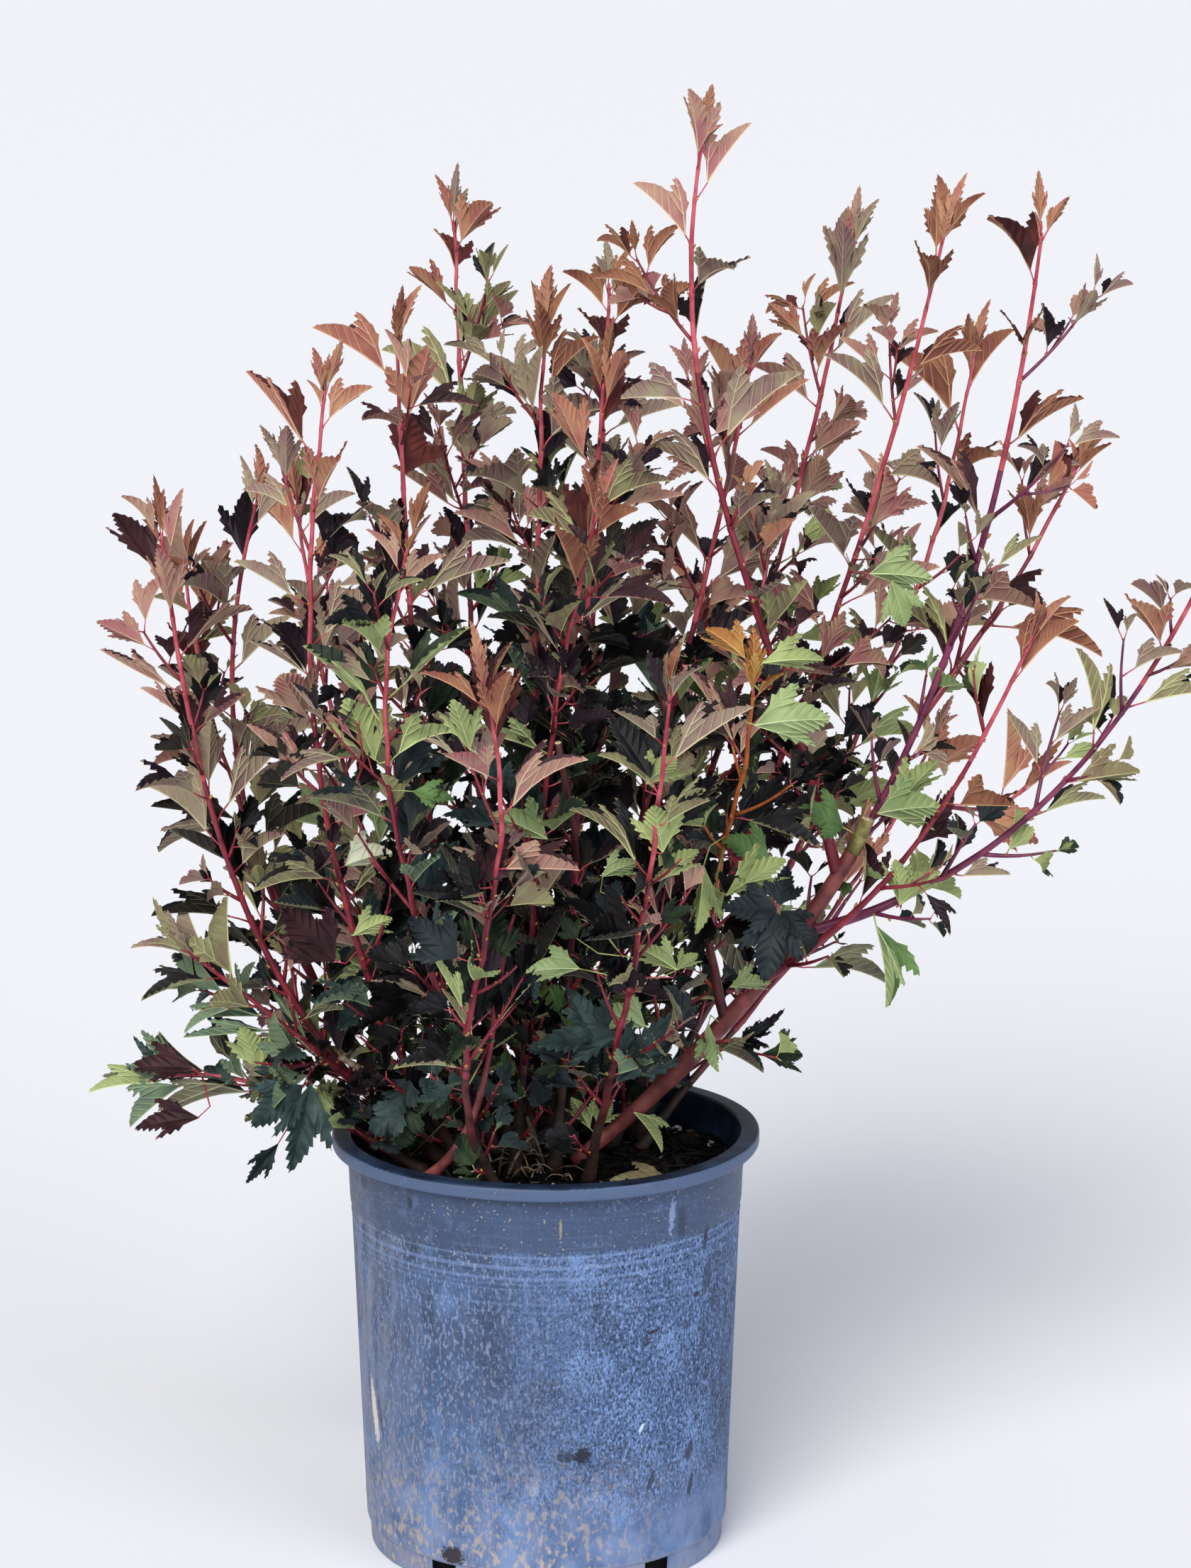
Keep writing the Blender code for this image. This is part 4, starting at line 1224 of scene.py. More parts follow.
    def zone(self, place: Vector, youth: float) -> Zone:
        """Find the part of the crown that a spray belongs to.

        Args:
            place: Where the spray is.
            youth: From zero on old growth to one at a leader's tip.

        Returns:
            The part.
        """
        if youth > self.young and place.z > self.tips_above:
            return Zone.LEADER_TIPS
        if place.z < self.low_below:
            return Zone.LOW_LEFT if self.cane.tip[0] < 0.0 else Zone.LOW_RIGHT
        if self.in_heart(place):
            return Zone.HEART
        if place.z > self.top_above:
            return Zone.TOP
        return Zone.UPPER if place.z > self.upper_above else Zone.MIDDLE

    def deal_tint(self, place: Vector, youth: float) -> Tint:
        """Deal a spray its tint.

        Args:
            place: Where the spray is.
            youth: From zero on old growth to one at a leader's tip.

        Returns:
            The tint.
        """
        if youth > self.young and self.cane.wood is Wood.AMBER:
            return Tint.AMBER
        weights = self.zone(place, youth).value
        return Tint[self.fine.choices(list(weights), list(weights.values()))[0]]

    def leaf(
        self, stem: Stem, share: float, turn: float, size: float, youth: float, tint: Tint, rooms: Rooms
    ) -> None:
        """Hang one leaf, unless it would leave this mass's room, touch a limb or hide one that shows.

        Args:
            stem: Stem that bears it.
            share: Share of the way along the stem.
            turn: Turn round the stem.
            size: Share of full size.
            youth: From zero, full-grown and spreading, to one, young, and over one, quite upright.
            tint: Tint of its spray.
            rooms: What the mass keeps clear of.
        """
        place, direction, radius = stem.at(share)
        draw = self.fine
        for aside, smaller in self.leaf_tries:
            out = stem.out(direction, turn + aside)
            lean = math.radians(self.lean[0] - self.lean[1] * youth) + draw.gauss(0.0, self.lean_spread)
            scale = size * smaller
            away = direction * math.cos(lean) + out * math.sin(lean)
            foot = place + out * radius * 0.5
            base = foot + away * draw.uniform(*self.stalk) * scale
            flare = lean + draw.uniform(*self.flare) * (1.0 - 0.6 * youth)
            along = (direction * math.cos(flare) + out * math.sin(flare) + UP * 0.15).normalized()
            blade = draw.uniform(*self.blade) * scale
            if not self.free(base + along * blade * 0.5, rooms):
                continue
            if any(rooms.view.hides(base + along * blade * part, room) for part, room in self.blade_spots):
                continue
            turned = self.heart_side if self.in_heart(place) else self.sunward(place)
            roll = along.cross(direction) * draw.gauss(0.0, self.roll_spread)
            facing = direction * 0.9 + UP * 0.25 + turned + roll
            upper = (facing - along * facing.dot(along)).normalized()
            if scale < self.small:
                form = Form.YOUNG if youth > 0.5 else Form.SMALL
            else:
                form = draw.choice((Form.LONG, Form.LONG, Form.BROAD)) if youth < 0.8 else Form.YOUNG
            self.leaves.append(Leaf(
                foot, base, along, upper, blade, form, tint,
                fold=math.radians(draw.uniform(*self.folds)), curl=draw.uniform(*self.curls),
                twist=draw.gauss(0.0, self.twist_spread), wide=draw.uniform(*self.widths),
            ))
            return

    def source_twigs(self, rooms: Rooms) -> list[tuple[float, float]]:
        """Set the side twigs that the solids have, by the same draws.

        Args:
            rooms: What the mass keeps clear of.

        Returns:
            Share and turn of each station that bears no side twig.
        """
        length = sum((b[0] - a[0]).length for a, b in zip(self.axis, self.axis[1:]))
        count = max(3, round(length / STATION))
        turn = self.draw.uniform(0.0, math.tau)
        spare = []
        for station in range(1, count):
            share = station / count
            turn += TURN_PER_STATION
            rest = (1.0 - share) * length
            wanted = min(self.draw.uniform(*TWIG_LENGTH), TWIG_SHARE_OF_REST * rest, self.cane.spread)
            if station % TWIG_EVERY == 1 and wanted > SHORTEST_TWIG:
                twig = self.side_twig(self.leader, share, turn, wanted)
                if self.free(twig.points[-1], rooms):
                    self.twigs.append(twig)
                    self.leader.nodes.append(share)
                    continue
            spare.append((share, turn))
        return spare

    def side_twig(self, stem: Stem, share: float, turn: float, length: float) -> Stem:
        """Shoot that leaves a stem at an angle and curves up towards its direction.

        Args:
            stem: Stem that it springs from.
            share: Share of the way along that stem.
            turn: Turn round it.
            length: Length of the shoot.

        Returns:
            The new stem.
        """
        base, direction, radius = stem.at(share)
        start = direction * math.cos(TWIG_LEAN) + stem.out(direction, turn) * math.sin(TWIG_LEAN)
        end = (start + direction * TWIG_TURN_IN + UP * TWIG_LIFT).normalized()
        growth = (start + end * TWIG_BEND).normalized()
        thick, steps = min(radius * 0.8, TWIG_RADIUS), max(3, round(length / 0.009))
        bow = (start - growth) * length * 0.35
        places = [step / steps for step in range(steps + 1)]
        points = [base + growth * length * part + bow * math.sin(math.pi * part) for part in places]
        radii = [thick + (TWIG_TIP_RADIUS - thick) * part for part in places]
        return Stem(points, radii, stem.across)

    def spray(self, stem: Stem, step: float, size: float, youth: float, rooms: Rooms) -> None:
        """Hang leaves all along a twig, smaller towards its tip.

        Args:
            stem: The twig.
            step: Distance between leaves.
            size: Share of full size at its foot.
            youth: Youth of the leaves at its tip.
            rooms: What the mass keeps clear of.
        """
        tint = self.deal_tint(stem.points[-1], youth)
        count = max(2, round(stem.length * self.cane.leafy / step))
        turn = self.fine.uniform(0.0, math.tau)
        for station in range(1, count + 1):
            share = min(station / count, 0.97)
            turn += TURN_PER_STATION
            stem.nodes.append(share)
            self.leaf(stem, share, turn, size * (1.0 - 0.35 * share), youth * share, tint, rooms)
        self.leaf(stem, 0.99, turn + math.pi, size * 0.5, max(0.6, youth), tint, rooms)

    def grow(self, rooms: Rooms) -> None:
        """Grow the whole mass.

        Args:
            rooms: What the mass keeps clear of.
        """
        spare = self.source_twigs(rooms)
        for twig in list(self.twigs):
            if self.cane.leafy < 0.5 and self.fine.random() > 2.0 * self.cane.leafy:
                self.twigs.remove(twig)
                continue
            self.spray(twig, self.twig_leaf_step, 0.82, 0.45, rooms)
            if twig.length > self.branching and self.fine.random() < self.cane.leafy:
                turn = self.fine.uniform(0.0, math.tau)
                fine = self.side_twig(twig, self.branch_at, turn, twig.length * self.branch_share)
                self.twigs.append(fine)
                self.spray(fine, self.fine_leaf_step, 0.58, 0.3, rooms)
        for share, turn in spare:
            place = self.leader.at(share)[0]
            wanted = place.z < self.fine.uniform(*self.spur_below) and self.fine.random() < self.cane.leafy
            if share < 0.78 and (wanted or self.in_heart(place)):
                spur = self.side_twig(self.leader, share, turn + 0.5, self.fine.uniform(*self.spur_length))
                self.twigs.append(spur)
                self.spray(spur, self.fine_leaf_step, self.fine.uniform(*self.spur_leaves), 0.2, rooms)
        length, turn, tint = self.leader.length, self.fine.uniform(0.0, math.tau), Tint.MAUVE
        below, number = 0.006, 0
        while below < length:
            share = 1.0 - below / length
            place, youth = self.leader.at(share)[0], max(0.0, 1.0 - below / self.tip_reach)
            if number % 4 == 0 or self.cane.wood is Wood.AMBER:
                tint = self.deal_tint(place, youth)
            size = min(1.0, 0.54 + below / 0.090) * self.fine.uniform(0.86, 1.08)
            self.leader.nodes.append(share)
            self.leaf(self.leader, share, turn, size, youth, tint, rooms)
            turn += TURN_PER_STATION
            number += 1
            step = self.leaf_step[0] + (self.leaf_step[1] - self.leaf_step[0]) * self.rise(place.z)
            closer = min(1.0, 0.34 + below / self.tip_reach)
            below += step / self.cane.leafy * closer * self.fine.uniform(0.85, 1.15)
        tint = self.deal_tint(self.leader.points[-1], 1.0)
        for step, size in enumerate(self.tip_leaves):
            share, youth = 0.995 - 0.01 * step, 1.6 - 0.3 * step
            self.leaf(self.leader, share, turn + step * math.tau / 3, size, youth, tint, rooms)
        if self.cane.limb:
            self.low = True
            self.low_growth(rooms)
            self.low = False

    def low_growth(self, rooms: Rooms) -> None:
        """Set short leafy spurs on the limb below the foliage.

        Args:
            rooms: What the mass keeps clear of.
        """
        reach = self.route.length * self.start
        shares = [self.start * step / 30 for step in range(31)]
        limb = Stem(
            [self.route.point(share) for share in shares], [self.route.radius(share) for share in shares],
            self.route.across,
        )
        run, turn = self.low_start, self.fine.uniform(0.0, math.tau)
        bare = 0.12 if self.cane.branches() else 0.3 if self.cane.name == "right_main" else 0.0
        while run < reach:
            share = run / reach
            turn += TURN_PER_STATION
            run += self.low_step / min(1.0, self.cane.leafy) ** 2 * self.fine.uniform(0.8, 1.2)
            if share < bare:
                continue
            spur = self.side_twig(limb, share, turn, self.fine.uniform(*self.low_length))
            if self.free(spur.points[-1], rooms) and not rooms.view.hides(spur.points[-1], 0.004):
                self.twigs.append(spur)
                self.spray(spur, self.low_leaf_step, self.fine.uniform(*self.low_leaves), 0.1, rooms)

    def add_specimen(self, specimen: Specimen) -> None:
        """Hang a leaf where the photograph shows it, on the nearest place of its cane."""
        base, tip = seen_at(*specimen.base), seen_at(*specimen.tip)
        along = (tip - base).normalized()
        upper = Vector(specimen.upper)
        upper = (upper - along * upper.dot(along)).normalized()
        self.leaves.append(Leaf(
            self.route.nearest(base), base, along, upper, (tip - base).length, specimen.form, specimen.tint,
            fold=math.radians(specimen.fold), curl=specimen.curl, twist=0.1, wide=1.05,
        ))


class Crown:
    """All canes, twigs and leaves, joined by region and by kind."""

    # Corners and distance of a cane's rings, those beside each node, and how far and long it swells
    stem_sides = 10
    ring_step = 0.007
    node_rings = 0.0022
    node_swell = 0.20
    node_reach = 0.0021

    # How far a cane sways from its route, and the height of its bark's ridges as a share of its radius
    stem_wobble = 0.0011
    bark_relief = 0.045
    stub_sides = 9

    def __init__(self) -> None:
        """Lay every cane's route and grow every mass."""
        self.routes: dict[str, Route] = {}
        for cane in [*CANES, PRUNED]:
            if cane.branches():
                foot = self.routes[cane.foot[0]].point(cane.foot[1])
            else:
                foot = Vector((*cane.foot, SOIL_TOP + GAP))
            self.routes[cane.name] = Route(cane, foot)
        self.masses = [
            Mass(number, self.routes[cane.name], cane.bare if cane.limb else 0.012)
            for number, cane in enumerate(CANES)
        ]
        limbs = [route.axis(0.0, route.cane.bare) for route in self.routes.values() if route.cane.limb]
        rooms = Rooms(Spaces([mass.axis for mass in self.masses]), Spaces(limbs), ClearView(self.routes))
        for mass in self.masses:
            mass.grow(rooms)
            for specimen in SPECIMENS.get(mass.cane.name, ()):
                mass.add_specimen(specimen)
        log.info("%d leaves", sum(len(mass.leaves) for mass in self.masses))

    def cane_finish(self, cane: Cane, share: float, draw: random.Random) -> Wood:
        """Bark of a cane at a share of its length, its bounds a little ragged.

        Args:
            cane: The cane.
            share: Share of its length.
            draw: Source of chance.

        Returns:
            The bark there.
        """
        share += draw.gauss(0.0, 0.012)
        if cane is PRUNED:
            return Wood.CUT if share > 0.992 else Wood.BOUGH if share < 0.5 else Wood.CRIMSON
        if cane.name == "right_main":
            return Wood.BOUGH if share < PRUNED_AT else Wood.PURPLE if share < 0.80 else Wood.ROSY
        if cane.wood is Wood.AMBER:
            return Wood.WINE if share < 0.26 else Wood.BOUGH if share < 0.36 else Wood.AMBER
        if cane.branches():
            return cane.wood if share < 0.70 else Wood.ROSY
        if share < 0.12:
            return Wood.WOODY
        if share < 0.28:
            return Wood.WINE
        return cane.wood if share < 0.68 else Wood.ROSY

    def add_cane(self, parts: MeshParts, route: Route, nodes: Sequence[float]) -> None:
        """Add one cane with the relief of its bark, swollen at its nodes.

        Args:
            parts: Piece that it is joined to.
            route: Centreline of the cane.
            nodes: Shares of its length at which leaves leave it.
        """
        draw, sides = random.Random(route.cane.name), self.stem_sides
        steps, near = round(route.length / self.ring_step), self.node_rings / route.length
        shares = {step / steps for step in range(steps + 1)}
        for node in nodes:
            shares.update({node, max(0.0, node - near), min(1.0, node + near)})
        shares = sorted(shares)
        phase = draw.uniform(0.0, math.tau)
        path, radii = [], []
        for share in shares:
            run = share * route.length
            sway = math.sin(run / 0.011 + phase) * math.sin(run / 0.031) * self.stem_wobble
            path.append(route.point(share) + route.across * sway * min(1.0, run / 0.05))
            away = [(share - node) * route.length / self.node_reach for node in nodes]
            swell = max((math.exp(-gap ** 2) for gap in away), default=0.0)
            thick = route.shown(share) * (1.0 + self.node_swell * swell)
            relief = [noise.noise(Vector((side * 1.7, run * 55.0, phase))) for side in range(sides)]
            radii.append([thick * (1.0 + self.bark_relief * high) for high in relief])
        points, faces = tube(path, radii, sides, route.across)
        deals = [WOODS.index(self.cane_finish(route.cane, share, draw)) for share in shares]
        rows = np.minimum(faces.min(1) // sides, len(shares) - 1)
        finishes = np.array(deals)[rows]
        if route.cane is PRUNED:
            finishes[-sides:] = WOODS.index(Wood.CUT)
        parts.add(points, faces, finishes)

    def add_stub(self, parts: MeshParts, stub: Stub) -> None:
        """Add a pruned stub with its pale cut end."""
        low, end = seen_at(*stub.foot), seen_at(*stub.end)
        bend = low.lerp(end, 0.3)
        path = [self.routes[stub.cane].nearest(low), bend]
        path += [bend.lerp(end, step / 4) for step in range(1, 5)]
        radii = stub.radius * np.array([1.2, 1.05, 1.0, 1.0, 0.98, 0.96])
        points, faces = tube(path, radii, self.stub_sides, Vector((0.0, 1.0, 0.0)))
        finishes = np.full(len(faces), WOODS.index(stub.wood))
        finishes[-self.stub_sides:] = WOODS.index(Wood.CUT)
        parts.add(points, faces, finishes)

    def add_twig(self, parts: MeshParts, twig: Stem, wood: Wood) -> None:
        """Add one twig to a piece."""
        parts.add(*tube(twig.points, twig.radii, 5, twig.across), WOODS.index(wood))

    def add_buds(self, parts: MeshParts, stem: Stem, draw: random.Random) -> None:
        """Add a small pointed bud at each node of a stem.

        Args:
            parts: Piece that they are joined to.
            stem: The stem.
            draw: Source of chance.
        """
        for node in stem.nodes:
            place, direction, radius = stem.at(node)
            out = stem.out(direction, draw.uniform(0.0, math.tau))
            ahead = (direction + out * 0.8).normalized()
            size = min(0.0042, radius * 1.8) * draw.uniform(0.7, 1.15)
            foot = place + out * radius * 0.7
            path = [foot + ahead * size * part for part in (0.0, 0.45, 1.0)]
            parts.add(*tube(path, np.array([0.30, 0.36, 0.06]) * size, 4, stem.across), WOODS.index(Wood.BUD))

    def add_stalk(self, parts: MeshParts, leaf: Leaf, wood: Wood) -> None:
        """Add the curved stalk of a leaf."""
        bend = leaf.base - leaf.along * (leaf.base - leaf.foot).length * 0.45
        middle = leaf.foot * 0.25 + bend * 0.5 + leaf.base * 0.25
        end = leaf.base + leaf.along * leaf.length * 0.02
        thick = 0.00032 + leaf.length * 0.0052
        radii = (thick * 1.25, thick, thick * 0.9)
        parts.add(*tube((leaf.foot, middle, end), radii, 4, leaf.upper), WOODS.index(wood))

    def build(self) -> None:
        """Join and build the pieces of every region."""
        leaf_materials = [finish.make() for tint in Tint for finish in tint.finishes()]
        wood_materials = [wood.value.make() for wood in Wood]
        blades = {form: Blade(form.value) for form in Form}
        for region in sorted({cane.region() for cane in CANES}):
            masses = [mass for mass in self.masses if mass.cane.region() == region]
            leaves, twigs, canes = MeshParts(), MeshParts(), MeshParts()
            for mass in masses:
                draw = random.Random(mass.number)
                for twig in mass.twigs:
                    self.add_twig(twigs, twig, mass.cane.wood)
                    self.add_buds(twigs, twig, draw)
                self.add_buds(twigs, mass.leader, draw)
                for leaf in mass.leaves:
                    green = leaf.tint in (Tint.BRIGHT, Tint.PALE) and draw.random() < 0.6
                    self.add_stalk(twigs, leaf, Wood.GREEN if green else Wood.ROSY)
                nodes = [mass.start + (1.0 - mass.start) * node for node in mass.leader.nodes]
                self.add_cane(canes, mass.route, nodes)
                for stub in STUBS:
                    if stub.cane == mass.cane.name:
                        self.add_stub(canes, stub)
            if region == PRUNED.region():
                self.add_cane(canes, self.routes["pruned"], [0.45, 0.7])
            for form, blade in blades.items():
                chosen = [leaf for mass in masses for leaf in mass.leaves if leaf.form is form]
                if chosen:
                    leaves.add(*blade.placed(chosen))
            foliage = [f"leaves_{mass.cane.name}" for mass in masses]
            limbs = [f"cane_{mass.cane.name}" for mass in masses if mass.cane.limb]
            if region == PRUNED.region():
                limbs.append("cane_pruned")
            for kind, parts, materials, slot, nodes in (
                ("leaves", leaves, leaf_materials, "foliage", foliage),
                ("twigs", twigs, wood_materials, "cane_bark", foliage),
                ("canes", canes, wood_materials, "cane_bark", limbs),
            ):
                item = parts.build(f"crown_{kind}_{region}", materials, smooth=kind != "leaves")
                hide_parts(*nodes)


@dataclass(frozen=True)
class Stain:
    """Layer on the pot's wall: a colour, seen where a cloudy pattern passes from one level to another.

    Sizes are millimetres across and upright. heights, and across for X, run from where the layer
    has nothing to where it has its full strength.
    """

    colour: str
    size_mm: tuple[float, float]
    seen: tuple[float, float]
    strength: float
    heights: tuple[float, float] = (-2.0, -1.0)
    across: tuple[float, float] = (-2.0, -1.0)
    detail: float = 2.0


@dataclass(frozen=True)
class Mark:
    """Scuff on the pot's wall at a pixel of the photograph, tipped anticlockwise, with a ragged edge."""

    across: int
    down: int
    size_mm: tuple[float, float]
    tip: float
    colour: str
    strength: float = 0.8
    ragged: float = 0.5


@dataclass(frozen=True)
class PotPlastic:
    """Blow-moulded polyethylene, black when new.

    Years outdoors leave a chalky blue-grey bloom that is worn through in fine upright specks,
    with tan dirt washed down towards the foot and a smoother, darker collar.
    """

    bloom: str = "#445c83"
    radius: float = 0.134
    edge_scale: float = 450.0
    grain_scale: float = 800.0
    grain_height: float = 0.00012
    stains: tuple[Stain, ...] = (
        # Broad clouds in the bloom, then thin places where the dark plastic shows through
        Stain("#6886b6", (30.0, 38.0), (0.50, 0.64), 0.62, detail=5.0),
        Stain("#2f3c56", (56.0, 60.0), (0.54, 0.38), 0.60, (0.05, 0.13), (0.080, 0.040), 5.0),
        Stain("#26324a", (22.0, 40.0), (0.64, 0.42), 0.78, (0.12, 0.20), (0.02, -0.05), 5.0),
        # Darker patches towards the right edge
        Stain("#26334c", (12.0, 28.0), (0.50, 0.40), 0.70, (0.05, 0.09), (0.095, 0.120), 4.0),
        # Upright specks worn through, drawn about a third bigger than they are, since finer ones blur away
        Stain("#1d283f", (1.6, 2.5), (0.51, 0.43), 0.82, (0.045, 0.070), (-0.13, 0.06), 1.0),
        Stain("#88a4dc", (1.6, 3.0), (0.56, 0.63), 0.50, (0.030, 0.070), (-0.06, 0.06), 1.0),
        Stain("#8190b2", (1.8, 4.2), (0.56, 0.64), 0.60, across=(0.05, -0.06), detail=1.0),
        # Paler low down and round the left side, then soil that has splashed and dried
        Stain("#7b8bb0", (18.0, 28.0), (0.36, 0.62), 0.68, (0.105, 0.020), detail=5.0),
        Stain("#83899d", (10.0, 46.0), (0.36, 0.60), 0.62, across=(-0.080, -0.126), detail=4.0),
        Stain("#b0a08c", (4.6, 7.0), (0.52, 0.62), 0.82, (0.115, 0.005), (0.100, 0.010), 6.0),
        Stain("#948a82", (2.2, 9.0), (0.56, 0.68), 0.60, (0.250, 0.090), (0.050, -0.080), 3.0),
        # Moulding rings under the collar, and the smooth collar with its grit
        Stain("#7b94c4", (2000.0, 3.6), (0.52, 0.62), 0.34, (0.190, 0.235), detail=1.0),
        Stain("#344462", (34.0, 10.0), (0.10, 0.46), 0.88, (0.2475, 0.2525), detail=4.0),
        Stain("#52658c", (14.0, 20.0), (0.54, 0.66), 0.60, (0.2500, 0.2530), (-0.020, -0.090), 4.0),
        Stain("#a59a86", (2.0, 2.0), (0.69, 0.73), 0.75, (0.225, 0.250), detail=1.0),
        Stain("#465878", (30.0, 6.0), (0.10, 0.45), 0.90, (0.2895, 0.2905), detail=3.0),
        Stain("#7d8194", (5.0, 9.0), (0.34, 0.58), 0.75, (0.0205, 0.0185), detail=4.0),
    )
    marks: tuple[Mark, ...] = (
        # Short scratches at the right, then the scuffs low down there
        Mark(922, 1877, (13.0, 2.6), 14.0, "#1b2434", 0.9, 0.25),
        Mark(912, 1895, (10.0, 1.8), 12.0, "#1b2434", 0.8, 0.25),
        Mark(997, 1929, (1.0, 22.0), 12.0, "#151c2a", 0.9, 0.2),
        Mark(993, 1933, (0.9, 17.0), 12.0, "#151c2a", 0.8, 0.2),
        Mark(985, 2000, (5.0, 6.0), 0.0, "#1d2636"),
        Mark(977, 2046, (8.0, 16.0), -16.0, "#28324a", 0.85),
        Mark(922, 2091, (5.0, 15.0), -20.0, "#28324a", 0.85),
        Mark(980, 2094, (5.5, 18.0), -12.0, "#232d43", 0.85),
        Mark(907, 2015, (3.0, 8.0), -28.0, "#b9cbee", 0.85, 0.4),
        # Dark wear under the collar at the right
        Mark(990, 1744, (6.0, 18.0), -8.0, "#1f293c", 0.8, 0.8),
        Mark(995, 1796, (12.0, 28.0), -12.0, "#28344c", 0.75, 0.8),
        Mark(980, 1824, (7.0, 3.0), 5.0, "#161d2b", 0.9),
        # Dark spot in the middle, the scrape at the left and the damp patch at the foot
        Mark(822, 2055, (12.0, 13.0), 0.0, "#121a28", 0.95, 0.7),
        Mark(799, 2057, (13.0, 8.0), -10.0, "#1a2333", 0.75, 1.3),
        Mark(525, 1990, (9.0, 50.0), 9.0, "#d3cdc6", 0.85, 0.6),
        Mark(534, 2003, (2.0, 40.0), 9.0, "#1d2536", 0.7, 0.5),
        Mark(633, 2197, (19.0, 14.0), 0.0, "#241f22", 0.95, 0.8),
        # On the collar
        Mark(586, 1693, (5.0, 10.0), 8.0, "#1b2334", 0.85),
        Mark(523, 1665, (12.0, 10.0), 8.0, "#202a3d", 0.7),
        Mark(942, 1713, (5.0, 26.0), -4.0, "#8ea0c6", 0.55, 0.9),
        Mark(956, 1721, (9.0, 24.0), 0.0, "#222b40", 0.7, 0.9),
        Mark(790, 1731, (1.8, 14.0), 0.0, "#8d8070", 0.85, 0.6),
    )

    def on_wall(self, across: float, down: float) -> Vector:
        """Where the line of sight through a pixel of the photograph meets the wall.

        Args:
            across: The pixel, counted from the left.
            down: The pixel, counted from the top.

        Returns:
            The place, on an upright cylinder of the wall's mean radius.
        """
        way = line_of_sight(across, down)
        flat, start = way.xy, EYE.xy
        half = flat.dot(start) / flat.length_squared
        rest = (start.length_squared - self.radius ** 2) / flat.length_squared
        return EYE + way * (-half - math.sqrt(max(0.0, half * half - rest)))

    def make(self) -> bpy.types.Material:
        """Make the material.

        Returns:
            The finished material.
        """
        material, shader = start_material("weathered_pot_polyethylene", 0.7, 1.49, 0.4)
        tree = material.node_tree
        place = add_node(tree, "ShaderNodeTexCoord").outputs["Object"]
        parts = add_node(tree, "ShaderNodeSeparateXYZ", {"Vector": place}).outputs
        colour = linear(self.bloom)
        for stain in self.stains:
            wide, high = stain.size_mm
            inputs = {"Vector": place, "Scale": (1.0, 1.0, wide / high)}
            stretched = add_node(tree, "ShaderNodeMapping", inputs).outputs[0]
            inputs = {"Vector": stretched, "Scale": 1000.0 / wide, "Detail": stain.detail}
            cloud = add_node(tree, "ShaderNodeTexNoise", inputs).outputs["Fac"]
            share = stain.strength
            for value, (nothing, full) in (
                (cloud, stain.seen), (parts["Z"], stain.heights), (parts["X"], stain.across),
            ):
                inputs = {"Value": value, "From Min": nothing, "From Max": full, "To Max": share}
                share = add_node(tree, "ShaderNodeMapRange", inputs).outputs["Result"]
            inputs = {0: share, 6: colour, 7: linear(stain.colour)}
            colour = add_node(tree, "ShaderNodeMix", inputs, data_type="RGBA").outputs[2]
        inputs = {"Vector": place, "Scale": self.edge_scale, "Detail": 2.0}
        rough = add_node(tree, "ShaderNodeTexNoise", inputs).outputs["Fac"]
        for mark in self.marks:
            spot, half = self.on_wall(mark.across, mark.down), [size / 2000.0 for size in mark.size_mm]
            inputs = {
                "Vector": place, "Location": spot, "Scale": (0.05, *half),
                "Rotation": (math.radians(mark.tip), 0.0, math.atan2(spot.y, spot.x)),
            }
            local = add_node(tree, "ShaderNodeMapping", inputs, vector_type="TEXTURE").outputs[0]
            away = add_node(tree, "ShaderNodeVectorMath", {0: local}, operation="LENGTH").outputs["Value"]
            inputs = {0: rough, 1: mark.ragged * 2.0, 2: away}
            away = add_node(tree, "ShaderNodeMath", inputs, operation="MULTIPLY_ADD").outputs[0]
            inputs = {
                "Value": away, "To Max": mark.strength,
                "From Min": 1.1 + mark.ragged, "From Max": 0.75 + mark.ragged,
            }
            share = add_node(tree, "ShaderNodeMapRange", inputs).outputs["Result"]
            inputs = {0: share, 6: colour, 7: linear(mark.colour)}
            colour = add_node(tree, "ShaderNodeMix", inputs, data_type="RGBA").outputs[2]
        tree.links.new(colour, shader.inputs["Base Color"])
        inputs = {"Value": parts["Z"], "From Min": 0.248, "From Max": 0.252, "To Min": 0.72, "To Max": 0.48}
        gloss = add_node(tree, "ShaderNodeMapRange", inputs).outputs["Result"]
        tree.links.new(gloss, shader.inputs["Roughness"])
        inputs = {"Vector": place, "Scale": self.grain_scale, "Detail": 2.0}
        grain = add_node(tree, "ShaderNodeTexNoise", inputs).outputs["Fac"]
        inputs = {"Height": grain, "Distance": self.grain_height, "Strength": 0.5}
        bump = add_node(tree, "ShaderNodeBump", inputs)
        tree.links.new(bump.outputs["Normal"], shader.inputs["Normal"])
        return material


